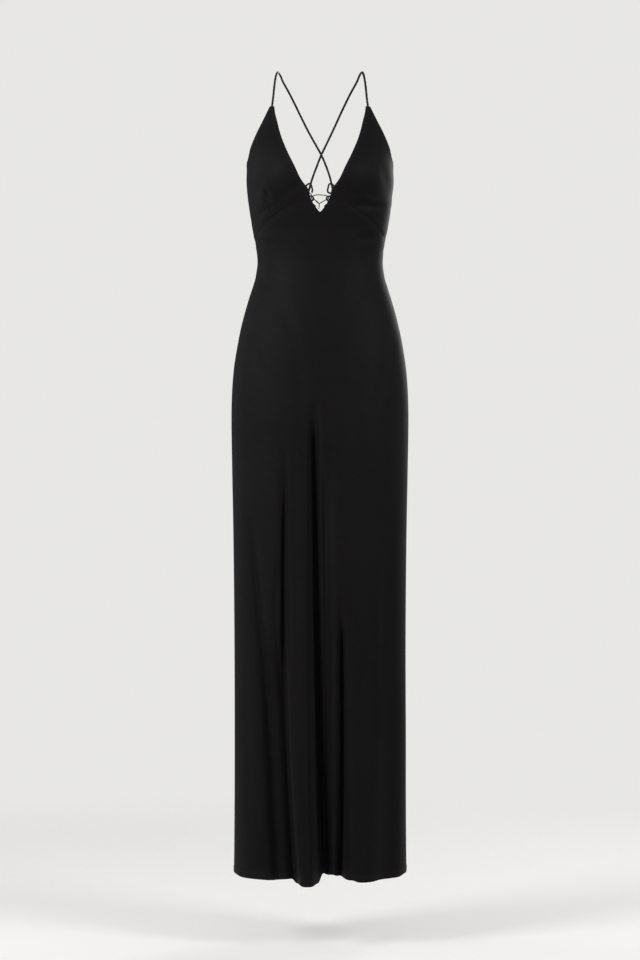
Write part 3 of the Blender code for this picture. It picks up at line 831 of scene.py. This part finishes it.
# %% [markdown]
# One function hangs every pattern piece. It takes a grid of turns round the figure and heights,
# asks where the cloth is, and moves each point along its own normal by the creases and the edges.
# Pleats go straight in, which leaves the ridges between them their full width. Solidify gives the
# wall. The grid is fine enough to need no subdivision, which would draw the edges back and open
# the seams. The inner side takes the second material, because satin has a dull back.

# %% Hang a piece of cloth
LAST_TURN = 0.995
TURN_STEP = 0.004
HEIGHT_STEP = 0.0006


def cloth_at(turns, heights, front):
    """Points of the smooth outer face."""
    x = across_at(turns, heights)
    depth = cloth_depth(x, heights, front) * np.where(np.abs(turns) > 1, -1, 1)
    return np.stack([x, -depth if front else depth, heights], axis=-1)


def outward_at(turns, heights, front):
    """Normals of that face. They depend on the place alone, so two pieces agree along a seam."""
    turns = np.clip(turns, -LAST_TURN, LAST_TURN)
    right, left = (cloth_at(turns + step, heights, front) for step in (TURN_STEP, -TURN_STEP))
    above, below = (cloth_at(turns, heights + step, front) for step in (HEIGHT_STEP, -HEIGHT_STEP))
    over, down = right - left, below - above
    normals = np.cross(down, over) if front else np.cross(over, down)
    return normals / np.linalg.norm(normals, axis=-1)[..., None]


def distances_along(points, axis):
    """Distance travelled from the first row or column of a grid."""
    steps = np.linalg.norm(np.diff(points, axis=axis), axis=2)
    start = np.zeros_like(points[:1, :, 0] if axis == 0 else points[:, :1, 0])
    return np.concatenate([start, np.cumsum(steps, axis=axis)], axis=axis)


def hang_cloth(name, turns, heights, front, edges):
    """A wall of cloth. edges names the finish of each side: seam, tucked, rolled or hem."""
    points = cloth_at(turns, heights, front)
    x = points[:, :, 0]
    creases = FRONT_CREASES + CUP_CREASES if front else BACK_CREASES
    relief = slow_ripple(x, heights) - creases_inward(creases, x, heights)
    down = distances_along(points, 0)
    over = distances_along(points, 1)
    sides = {"top": down, "bottom": down[-1] - down, "first": over, "last": over[:, -1:] - over}
    seam_sheen_mark = np.zeros_like(relief)
    for side, finish in edges.items():
        relief, seam_sheen_mark = finish_edge(relief, seam_sheen_mark, sides[side], side, finish)
    points = points + outward_at(turns, heights, front) * relief[:, :, None]
    taken_in = pleats_inward(FRONT_PLEATS if front else BACK_PLEATS, x, heights)
    points[:, :, 1] += taken_in if front else -taken_in
    rows, columns = relief.shape
    corner = (np.arange(rows - 1)[:, None] * columns + np.arange(columns - 1)[None, :]).ravel()
    faces = np.stack([corner, corner + columns, corner + columns + 1, corner + 1], axis=1).tolist()
    piece = mesh_piece(name, points.reshape(-1, 3), faces)
    middle = columns // 2
    lay_grain(piece, over - over[:, middle:middle + 1], down)
    mark = piece.data.attributes.new("seam_sheen_mark", "FLOAT", "POINT")
    mark.data.foreach_set("value", seam_sheen_mark.astype(np.float32).ravel())
    wall = piece.modifiers.new("Wall", "SOLIDIFY")
    wall.thickness = CLOTH_THICKNESS
    wall.offset = -1
    wall.material_offset = 1
    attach(piece, "root")
    return piece, points


def with_edge_lines(shares, close):
    """Adds a line close inside each end, for the pressed edge."""
    first, last = shares[0], shares[-1]
    return np.concatenate([[first, first + close], shares[1:-1], [last - close, last]])


def cloth_area(points):
    """Area of a hung grid, which is the area of its flat cut without turnings."""
    one = np.cross(points[1:, 1:] - points[:-1, :-1], points[1:, :-1] - points[:-1, 1:])
    return float(np.linalg.norm(one, axis=2).sum() / 2)


def spaced(start, end, count, dense_start=0.0, dense_end=0.0):
    """Shares from start to end, closer together toward an end where dense is near 1."""
    share = np.linspace(0, 1, count)
    eased = share + dense_start * (share**2 - share) * (1 - share)
    eased = eased + dense_end * (share - share**2) * share
    return start + (end - start) * eased


print("edge finishes: seam, tucked, rolled, hem")

# %% [markdown]
# The front is one piece from the keyhole and the seam under the bust to the hem. Cut on the bias,
# it needs no waist seam: it clings at the waist and opens into folds below the hips. Columns of
# the grid start on the seam's own curve, so the top edge is the seam, and rows are closer where
# there is detail.

# %% Front and back
EDGE_LINE = 0.0004
BODICE_END = -0.370
HIPS_END = -0.640
HEM_TURN = 0.018
BODICE_ROWS, HIP_ROWS, SKIRT_ROWS, HEM_ROWS = 28, 61, 76, 8
NOTCH_COLUMNS, SIDE_COLUMNS, BACK_COLUMNS = 17, 98, 224
FRONT_CROWDS, FRONT_CROWD_REACH = (0.12, 0.23, 0.42), 0.06
BACK_CROWDS, BACK_CROWD_REACH = (-0.23, -0.42, 0.07, 0.36), 0.05
CROWDING, CROWD_STEPS = 1.6, 900
NOTCH_MARGIN = 0.01
SIDE_LINE = 0.002
SIDE_TUCK = 0.005
SEAM_TUCK = 0.0020


def crowded(start, end, count, places, reach):
    """Values from start to end, closer together near the places where folds run."""
    fine = np.linspace(start, end, CROWD_STEPS)
    density = 1 + CROWDING * sum(bell(fine, reach, place) for place in places)
    filled = np.concatenate([[0], np.cumsum((density[1:] + density[:-1]) / 2)])
    return np.interp(np.linspace(0, filled[-1], count), filled, fine)


def panel_grid(turns, tops, hems, tuck=None):
    """Heights down each column: close at the top edge, at the hips and at the turned hem."""
    heights = [tops, tops - EDGE_LINE] if tuck is None else [tops + tuck, tops, tops - EDGE_LINE]
    waist, hips = np.full_like(tops, BODICE_END), np.full_like(tops, HIPS_END)
    stretches = (
        (tops, waist, spaced(0, 1, BODICE_ROWS, 0.75)[1:-1]),
        (waist, hips, np.linspace(0, 1, HIP_ROWS)[:-1]),
        (hips, hems + HEM_TURN, np.linspace(0, 1, SKIRT_ROWS)[:-1]),
        (hems + HEM_TURN, hems, np.linspace(0, 1, HEM_ROWS)[:-1]),
    )
    for start, end, shares in stretches:
        heights += [start + (end - start) * share for share in shares]
    heights = np.array(heights + [hems + EDGE_LINE, hems])
    return np.broadcast_to(turns, heights.shape), heights


keyhole_x = [x for x, height in KEYHOLE_POINT]
notch_x = np.linspace(0, keyhole_x[-1], NOTCH_COLUMNS)[:-1]
notch_top = np.interp(notch_x, keyhole_x, [height for x, height in KEYHOLE_POINT])
notch_end = float(turn_at(*KEYHOLE_POINT[-1]))
side_turns = crowded(notch_end, 1.0, SIDE_COLUMNS, FRONT_CROWDS, FRONT_CROWD_REACH)
half_turns = np.concatenate([turn_at(notch_x, notch_top), side_turns[:-1], [1.0 - SIDE_LINE, 1.0]])
half_tops = np.concatenate([notch_top, under_bust_height(half_turns[len(notch_x):])])
front_turns = np.concatenate([-half_turns[:0:-1], half_turns])
front_tops = np.concatenate([half_tops[:0:-1], half_tops])
tuck = np.where(np.abs(front_turns) > notch_end + NOTCH_MARGIN, SEAM_TUCK, EDGE_LINE)
front_hems = touched_hem(across_at(front_turns, np.full_like(front_turns, HEM_HEIGHT)))
front, front_points = hang_cloth(
    "dress_front", *panel_grid(front_turns, front_tops, front_hems, tuck), True,
    {"top": "tucked", "bottom": "hem", "first": "seam", "last": "seam"},
)
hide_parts("front_panel")

back_turns = crowded(-1.0, 1.0, BACK_COLUMNS, BACK_CROWDS, BACK_CROWD_REACH)[::-1]
back_turns = with_edge_lines(back_turns, -SIDE_LINE)
back_turns = np.concatenate([[1.0 + SIDE_TUCK], back_turns, [-1.0 - SIDE_TUCK]])
back_tops = low_back_height(np.clip(back_turns, -1, 1))
back_hems = hem_line(across_at(back_turns, np.full_like(back_turns, HEM_HEIGHT)), BACK_FOLDS)
back, back_points = hang_cloth(
    "dress_back", *panel_grid(back_turns, back_tops, back_hems), False,
    {"top": "rolled", "bottom": "hem", "first": "tucked", "last": "tucked"},
)
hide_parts("back_panel")
for side, points in (("front", front_points), ("back", back_points)):
    print(side, "area:", round(cloth_area(points), 3), "m2")

# %% [markdown]
# A cup is a curved triangle. Its rows run from the neck edge to the armhole edge or side seam,
# and the lower rows bend down until the last one is the seam under the bust. One dart runs up
# from that seam toward the fullest point, and its pressed line shows as a thin shallow trough.

# %% Cups
CUP_ROWS_BEND = 0.55
CUP_GRID_ROWS = 112
CUP_GRID_COLUMNS = 84
CUP_LINE_DOWN, CUP_LINE_OVER = 0.03, 0.004


def cup_grid():
    """Turns and heights of the wearer's left cup, row by row from the strap point."""
    places = np.arange(len(CUP_ROWS), dtype=float)
    down = with_edge_lines(np.linspace(0, places[-1], CUP_GRID_ROWS), CUP_LINE_DOWN)
    columns = (
        [turn_at(row[0], row[1]) for row in CUP_ROWS],
        [1.0 if row[2] is SIDE_SEAM else turn_at(row[2], row[3]) for row in CUP_ROWS],
        [row[1] for row in CUP_ROWS],
        [row[3] for row in CUP_ROWS],
    )
    inner, outer, inner_height, outer_height = (
        read_table(places, column, down)[:, None] for column in columns)
    outer = np.minimum(outer, 1.0)
    share = with_edge_lines(spaced(0, 1, CUP_GRID_COLUMNS, 0.5, 0.5), CUP_LINE_OVER)[None, :]
    turns = inner + (outer - inner) * share
    heights = inner_height + (outer_height - inner_height) * share
    seam_pull = soft_step((down / places[-1] - CUP_ROWS_BEND) / (1 - CUP_ROWS_BEND))[:, None]
    straight = CUP_ROWS[-1][1] + (CUP_ROWS[-1][3] - CUP_ROWS[-1][1]) * share
    heights = heights + (under_bust_height(turns) - straight) * seam_pull
    return turns, heights


cups = []
for side, sign in (("left", 1), ("right", -1)):
    turns, heights = cup_grid()
    edges = {"top": "rolled", "bottom": "seam", "first": "rolled", "last": "rolled"}
    if sign < 0:
        turns, heights = -turns[:, ::-1], heights[:, ::-1]
    cup, cup_points = hang_cloth("dress_cup_" + side, turns, heights, True, edges)
    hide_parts("cup_" + side)
    cups.append(cup)
print("cup area:", round(cloth_area(cup_points), 4), "m2")

# %% [markdown]
# Sewing holds the hem: a line of small even stitches a finger's width above the edge. Each stitch
# is a tiny rounded dash that lies on the cloth, a little longer than the gap after it.

# %% Hem stitches
STITCH_LENGTH = 0.0021
STITCH_GAP = 0.0011
STITCH_WIDTH = 0.00042
STITCH_SIDES = 8
STITCH_PROFILE = ((-0.5, 0.25), (-0.36, 0.8), (0.0, 1.0), (0.36, 0.8), (0.5, 0.25))
STITCH_STANDS = 0.0006
HEM_ALLOWANCE = 0.0100


def row_at(points, away):
    """The line across a panel at a distance above its hem."""
    up = distances_along(points[::-1], 0)
    columns = range(points.shape[1])
    return np.array([read_line(away, up[:, column], points[::-1, column]) for column in columns])


def stitch_row(name, line, outward_y):
    """Dashes along a line, each an eight-sided lens of thread."""
    travelled = distance_along(line)
    vertices, faces = [], []
    place = STITCH_GAP
    while place + STITCH_LENGTH < travelled[-1]:
        ends = np.array([read_line(at, travelled, line) for at in (place, place + STITCH_LENGTH)])
        along = ends[1] - ends[0]
        outward = np.array([along[1], -along[0], 0.0])
        outward *= np.sign(outward[1] * outward_y) / np.linalg.norm(outward)
        middle = ends.mean(axis=0) + outward * STITCH_STANDS
        upward = np.cross(along / np.linalg.norm(along), outward)
        first = len(vertices)
        vertices += spun_rings(
            middle, along, upward, outward, STITCH_PROFILE, STITCH_WIDTH / 2, STITCH_SIDES)
        faces += ring_faces(len(STITCH_PROFILE), STITCH_SIDES, first)
        faces.append(tuple(range(first + STITCH_SIDES - 1, first - 1, -1)))
        faces.append(tuple(range(len(vertices) - STITCH_SIDES, len(vertices))))
        place += STITCH_LENGTH + STITCH_GAP
    piece = mesh_piece(name, vertices, faces)
    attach(piece, "root")
    return piece


stitches = [
    stitch_row("dress_hem_stitches_front", row_at(front_points, HEM_ALLOWANCE), -1),
    stitch_row("dress_hem_stitches_back", row_at(back_points, HEM_ALLOWANCE), 1),
]
points_each = len(STITCH_PROFILE) * STITCH_SIDES
print("stitches:", sum(len(piece.data.vertices) for piece in stitches) // points_each)

# %% [markdown]
# The flat area of the front, the back and a cup is printed where they are hung. It is the area of
# the shape itself, because none of the pieces is a rectangle. No width or length is worked out.

# %% Sheets of cloth


# %% [markdown]
# Satin floats its threads over the surface in long parallel runs, which is why it is smooth one
# way and shows fine lines the other. Bias cutting turns them to 45 degrees. This group draws
# those floats from the flat place of each point, as a height and as a slight change of tone. Both
# are noise stretched along the thread. Every cloth finish here uses it with its own spacing.

# %% Thread floats


def fill(tree, node, inputs):
    """Sets each input of a node to a number, a colour or the output of another node."""
    for name, value in inputs.items():
        if isinstance(value, bpy.types.NodeSocket):
            tree.links.new(value, node.inputs[name])
        else:
            node.inputs[name].default_value = value


def add_node(tree, kind, place, inputs=None, **settings):
    node = tree.nodes.new("ShaderNode" + kind)
    node.location = place
    for name, value in settings.items():
        setattr(node, name, value)
    fill(tree, node, inputs or {})
    return node


def math_node(tree, operation, place, first, second=0.5):
    return add_node(tree, "Math", place, {0: first, 1: second}, operation=operation).outputs[0]


def new_group(name, inputs, outputs):
    """A node group, what it is given and its output node. An input of None is a place."""
    group = bpy.data.node_groups.new(name, "ShaderNodeTree")
    for title, value in inputs.items():
        kind = "NodeSocketVector" if value is None else "NodeSocketFloat"
        socket = group.interface.new_socket(title, in_out="INPUT", socket_type=kind)
        if value is not None:
            socket.default_value = value
    for title in outputs:
        group.interface.new_socket(title, in_out="OUTPUT", socket_type="NodeSocketFloat")
    given, result = group.nodes.new("NodeGroupInput"), group.nodes.new("NodeGroupOutput")
    result.location = (1200, 0)
    print("group:", name)
    return group, given.outputs, result


floats, given, result = new_group("thread_floats", {
    "Flat Place": None, "Threads per Metre": 4200.0, "Float Length": 9.0,
    "Bias Angle": math.radians(45)}, ("Height", "Tone"))
turned = add_node(floats, "VectorRotate", (200, 0), {
    "Vector": given["Flat Place"], "Angle": given["Bias Angle"]}, rotation_type="Z_AXIS")
apart = add_node(floats, "SeparateXYZ", (400, 0), {0: turned.outputs[0]})
threads = given["Threads per Metre"]
across = math_node(floats, "MULTIPLY", (600, 100), apart.outputs[0], threads)
along = math_node(floats, "MULTIPLY", (600, -100), apart.outputs[1], threads)
along = math_node(floats, "DIVIDE", (750, -100), along, given["Float Length"])
placed = add_node(floats, "CombineXYZ", (900, 0), {0: across, 1: along})
thread = add_node(floats, "TexNoise", (1000, 100), {
    "Vector": placed.outputs[0], "Scale": 0.5, "Detail": 1.0}, noise_dimensions="2D")
slub = add_node(floats, "TexNoise", (1000, -150), {
    "Vector": placed.outputs[0], "Scale": 0.035, "Detail": 3.0}, noise_dimensions="2D")
fill(floats, result, {"Height": thread.outputs[0], "Tone": slub.outputs[0]})

# %% [markdown]
# A garment that has been steamed and handled is not one even black: the tone drifts at random over
# a hand's width. Along pressed seams and turned edges the colour is painted lighter, which is a
# painted highlight for the light that they catch. This group mixes the two, from the place on the
# dress and from the marks that the cloth pieces carry along their edges.

# %% Handled tone and painted edge highlight
drift_and_highlight, given, result = new_group(
    "drift_and_edge_highlight_tone", {"Place": None, "Seam Sheen Mark": 0.0, "Drift": 0.5, "Edge Highlight": 0.5}, ("Tone",))
broad = add_node(drift_and_highlight, "TexNoise", (200, 100), {
    "Vector": given["Place"], "Scale": 7.0, "Detail": 2.0})
drift = math_node(drift_and_highlight, "MULTIPLY", (450, 100), broad.outputs[0], given["Drift"])
edge_highlight = math_node(drift_and_highlight, "MULTIPLY", (450, -100), given["Seam Sheen Mark"], given["Edge Highlight"])
fill(drift_and_highlight, result, {"Tone": math_node(drift_and_highlight, "ADD", (650, 0), drift, edge_highlight)})

# %% [markdown]
# The face of the satin is a near-black with the faintest warmth. Its gloss is soft: the floats
# spread a reflection along themselves, and at the sides, where the cloth turns away, the fibres'
# own sheen lifts it to charcoal. A single flat black would lose every fold.

# %% Satin, rouleau and thread finishes


def new_finish(name):
    """A material with its tree and its shader."""
    material = bpy.data.materials.new(name)
    material.use_nodes = True
    return material, material.node_tree, material.node_tree.nodes["Principled BSDF"]


def ramp_node(tree, place, factor, stops):
    ramp = add_node(tree, "ValToRGB", place, {0: factor})
    for element, (position, colour) in zip(ramp.color_ramp.elements, stops):
        element.position = position
        element.color = (*colour, 1.0)
    return ramp.outputs[0]


def worn_surface(tree, shader, tone, roughest, smoothest, height, strength, distance):
    """Roughness that follows a tone, and a bump that follows a height."""
    rough = add_node(tree, "MapRange", (-450, -50), {
        "Value": tone, "To Min": roughest, "To Max": smoothest})
    raised = add_node(tree, "Bump", (-250, -300), {
        "Strength": strength, "Distance": distance, "Height": height})
    fill(tree, shader, {"Roughness": rough.outputs[0], "Normal": raised.outputs[0]})


def cloth_finish(name, dark, light, roughness, specular, sheen, threads, bump, anisotropy=0.0):
    """A woven finish: its two tones, its gloss, and the size of its threads."""
    material, tree, shader = new_finish(name)
    grain = add_node(tree, "UVMap", (-1300, -200), uv_map="grain")
    place = add_node(tree, "TexCoord", (-1300, 200))
    mark = add_node(tree, "Attribute", (-1300, 0), attribute_name="seam_sheen_mark")
    weave = add_node(tree, "Group", (-1050, -200), node_tree=floats)
    fill(tree, weave, {"Threads per Metre": threads, "Flat Place": grain.outputs[0]})
    use = add_node(tree, "Group", (-1050, 150), node_tree=drift_and_highlight)
    fill(tree, use, {"Place": place.outputs["Object"], "Seam Sheen Mark": mark.outputs["Fac"]})
    tone = math_node(tree, "MULTIPLY", (-800, -50), weave.outputs["Tone"], 0.35)
    # The seam mark in this tone paints the colour lighter along pressed seams, rolled edges and the
    # hem band: a painted highlight.
    tone = math_node(tree, "ADD", (-650, 50), use.outputs["Tone"], tone)
    fill(tree, shader, {
        "Base Color": ramp_node(tree, (-500, 250), tone, ((0.15, dark), (0.95, light))),
        "Specular IOR Level": specular, "Anisotropic": anisotropy, "Sheen Weight": sheen,
        "Sheen Roughness": 0.42, "Sheen Tint": (0.93, 0.90, 0.88, 1.0)})
    worn_surface(tree, shader, tone, roughness + 0.05, roughness - 0.07,
                 weave.outputs["Height"], bump, 0.00006)
    print("finish:", material.name)
    return material


satin = cloth_finish(
    "satin_face", (0.0046, 0.0039, 0.0042), (0.0096, 0.0082, 0.0088),
    0.62, 0.10, 0.05, 4200.0, 0.30, 0.25)
satin_back = cloth_finish(
    "satin_wrong_side", (0.0060, 0.0058, 0.0060), (0.0110, 0.0105, 0.0105),
    0.68, 0.12, 0.08, 3600.0, 0.45)
rouleau = cloth_finish(
    "satin_rouleau", (0.0080, 0.0076, 0.0076), (0.0150, 0.0142, 0.0138),
    0.42, 0.28, 0.16, 4200.0, 0.30)
lace_finish = cloth_finish(
    "lace_cord", (0.0100, 0.0096, 0.0096), (0.0220, 0.0210, 0.0205),
    0.40, 0.34, 0.20, 9000.0, 0.50)
thread_finish = cloth_finish(
    "sewing_thread", (0.0060, 0.0058, 0.0060), (0.0120, 0.0115, 0.0115),
    0.50, 0.25, 0.15, 12000.0, 0.30)
for pieces, finishes in (
    ((front, back, *cups), (satin, satin_back)), (rouleau_pieces, (rouleau,)),
    (stitches, (thread_finish,)), ((lace,), (lace_finish,)),
):
    for piece in pieces:
        for finish in finishes:
            piece.data.materials.append(finish)

# %% [markdown]
# The beads are the only bright thing on the dress: pale brushed metal. A fine noise varies their
# colour and their roughness at random.

# %% Bead metal
bead_metal, tree, shader = new_finish("bead_metal")
place = add_node(tree, "TexCoord", (-1000, 0))
scratch = add_node(tree, "TexNoise", (-800, 0), {
    "Vector": place.outputs["Object"], "Scale": 900.0, "Detail": 3.0}).outputs[0]
rubbed = ramp_node(tree, (-500, 200), scratch, (
    (0.3, (0.50, 0.48, 0.45)), (0.7, (0.76, 0.73, 0.69))))
fill(tree, shader, {"Metallic": 1.0, "Base Color": rubbed})
worn_surface(tree, shader, scratch, 0.24, 0.40, scratch, 0.2, 0.00004)
for bead in beads:
    bead.data.materials.append(bead_metal)
print("finish:", bead_metal.name)

# %% [markdown]
# The floor is a plain pale disc below the hem. It fades out toward its rim, so that it meets the
# pale surround with no line behind the dress. A studio lights such a table from below, so it
# glows a little, but only as seen by the camera, because light from below would grey the black
# skirt.

# %% Pale floor
SURROUND = (0.80, 0.795, 0.785, 1.0)
FLOOR_HEIGHT = -1.60
FLOOR_RADIUS = 2.6
FLOOR_STEPS = 96
FLOOR_GLOW = 0.38
rim = []
for step in range(FLOOR_STEPS):
    turn = 2 * math.pi * step / FLOOR_STEPS
    rim.append((FLOOR_RADIUS * math.cos(turn), FLOOR_RADIUS * math.sin(turn), FLOOR_HEIGHT))
floor = mesh_piece("studio_floor", [(0, 0, FLOOR_HEIGHT), *rim], [
    (0, 1 + step, 1 + (step + 1) % FLOOR_STEPS) for step in range(FLOOR_STEPS)])
floor_finish, tree, shader = new_finish("pale_floor")
place = add_node(tree, "TexCoord", (-1200, 0)).outputs["Object"]
apart = add_node(tree, "SeparateXYZ", (-1000, 0), {0: place})
square_x = math_node(tree, "POWER", (-800, 100), apart.outputs[0], 2.0)
square_y = math_node(tree, "POWER", (-800, -100), apart.outputs[1], 2.0)
radius = math_node(tree, "SQRT", (-500, 0), math_node(tree, "ADD", (-650, 0), square_x, square_y))
fade = add_node(tree, "MapRange", (-300, -150), {
    "Value": radius, "From Min": 0.7, "From Max": 2.4, "To Min": 1.0, "To Max": 0.0,
}, interpolation_type="SMOOTHSTEP")
paper = add_node(tree, "TexNoise", (-800, 350), {"Vector": place, "Scale": 40.0})
seen = add_node(tree, "LightPath", (-500, -450)).outputs["Is Camera Ray"]
fill(tree, shader, {
    "Base Color": ramp_node(tree, (-500, 350), paper.outputs[0], (
        (0.3, (0.78, 0.77, 0.76)), (0.7, (0.80, 0.79, 0.78)))),
    "Alpha": fade.outputs[0], "Roughness": 0.8, "Specular IOR Level": 0.1,
    "Emission Color": SURROUND,
    "Emission Strength": math_node(tree, "MULTIPLY", (-300, -450), seen, FLOOR_GLOW)})
floor.data.materials.append(floor_finish)
print("floor at", FLOOR_HEIGHT, "m")

# %% [markdown]
# Black satin is drawn by how its light falls off. A soft box on each side, half in front, lights
# the flanks of every fold and leaves the bottoms of the troughs dark, and the left one is
# stronger. Weak tall strips behind the sides draw the rims, a broad weak one in front keeps the
# middle from going flat, and one behind shows the folds of the back. The surround is pale for the
# camera and dim as a light, so the folds keep their depth.

# %% Soft studio light
world = bpy.data.worlds.new("studio")
scene.world = world
world.use_nodes = True
tree = world.node_tree
ray = add_node(tree, "LightPath", (-600, 0))
strength = add_node(tree, "MapRange", (-300, 0), {
    "Value": ray.outputs["Is Camera Ray"], "To Min": 0.10, "To Max": 1.0})
fill(tree, tree.nodes["Background"], {"Color": SURROUND, "Strength": strength.outputs[0]})
SoftLight = namedtuple("SoftLight", "name place aim_height size watts")
SOFT_LIGHTS = table(
    SoftLight,
    ("left_strip", (-2.1, 0.9, -0.2), -0.55, (0.7, 2.2), 9),
    ("right_strip", (2.1, 1.0, -0.2), -0.55, (0.7, 2.2), 6),
    ("front_left", (-1.95, -1.55, 0.25), -0.45, (0.9, 1.3), 44),
    ("front_right", (1.95, -1.55, 0.35), -0.35, (0.9, 1.3), 32),
    ("front_high", (-0.4, -2.9, 0.4), -0.35, (2.2, 1.0), 4),
    ("overhead", (0.2, -0.6, 2.2), -0.6, (2.0, 2.0), 8),
    ("behind", (1.5, 2.5, 0.2), -0.5, (1.0, 1.4), 30),
)
for light in SOFT_LIGHTS:
    data = bpy.data.lights.new(light.name, "AREA")
    data.shape = "RECTANGLE"
    data.size, data.size_y = light.size
    data.energy = light.watts
    lamp = bpy.data.objects.new(light.name, data)
    scene.collection.objects.link(lamp)
    lamp.location = light.place
    towards = Vector((0, 0, light.aim_height)) - Vector(light.place)
    lamp.rotation_euler = towards.to_track_quat("-Z", "Y").to_euler()
    lamp.visible_camera = False
scene.view_settings.view_transform = "Standard"
print("lights:", len(SOFT_LIGHTS))
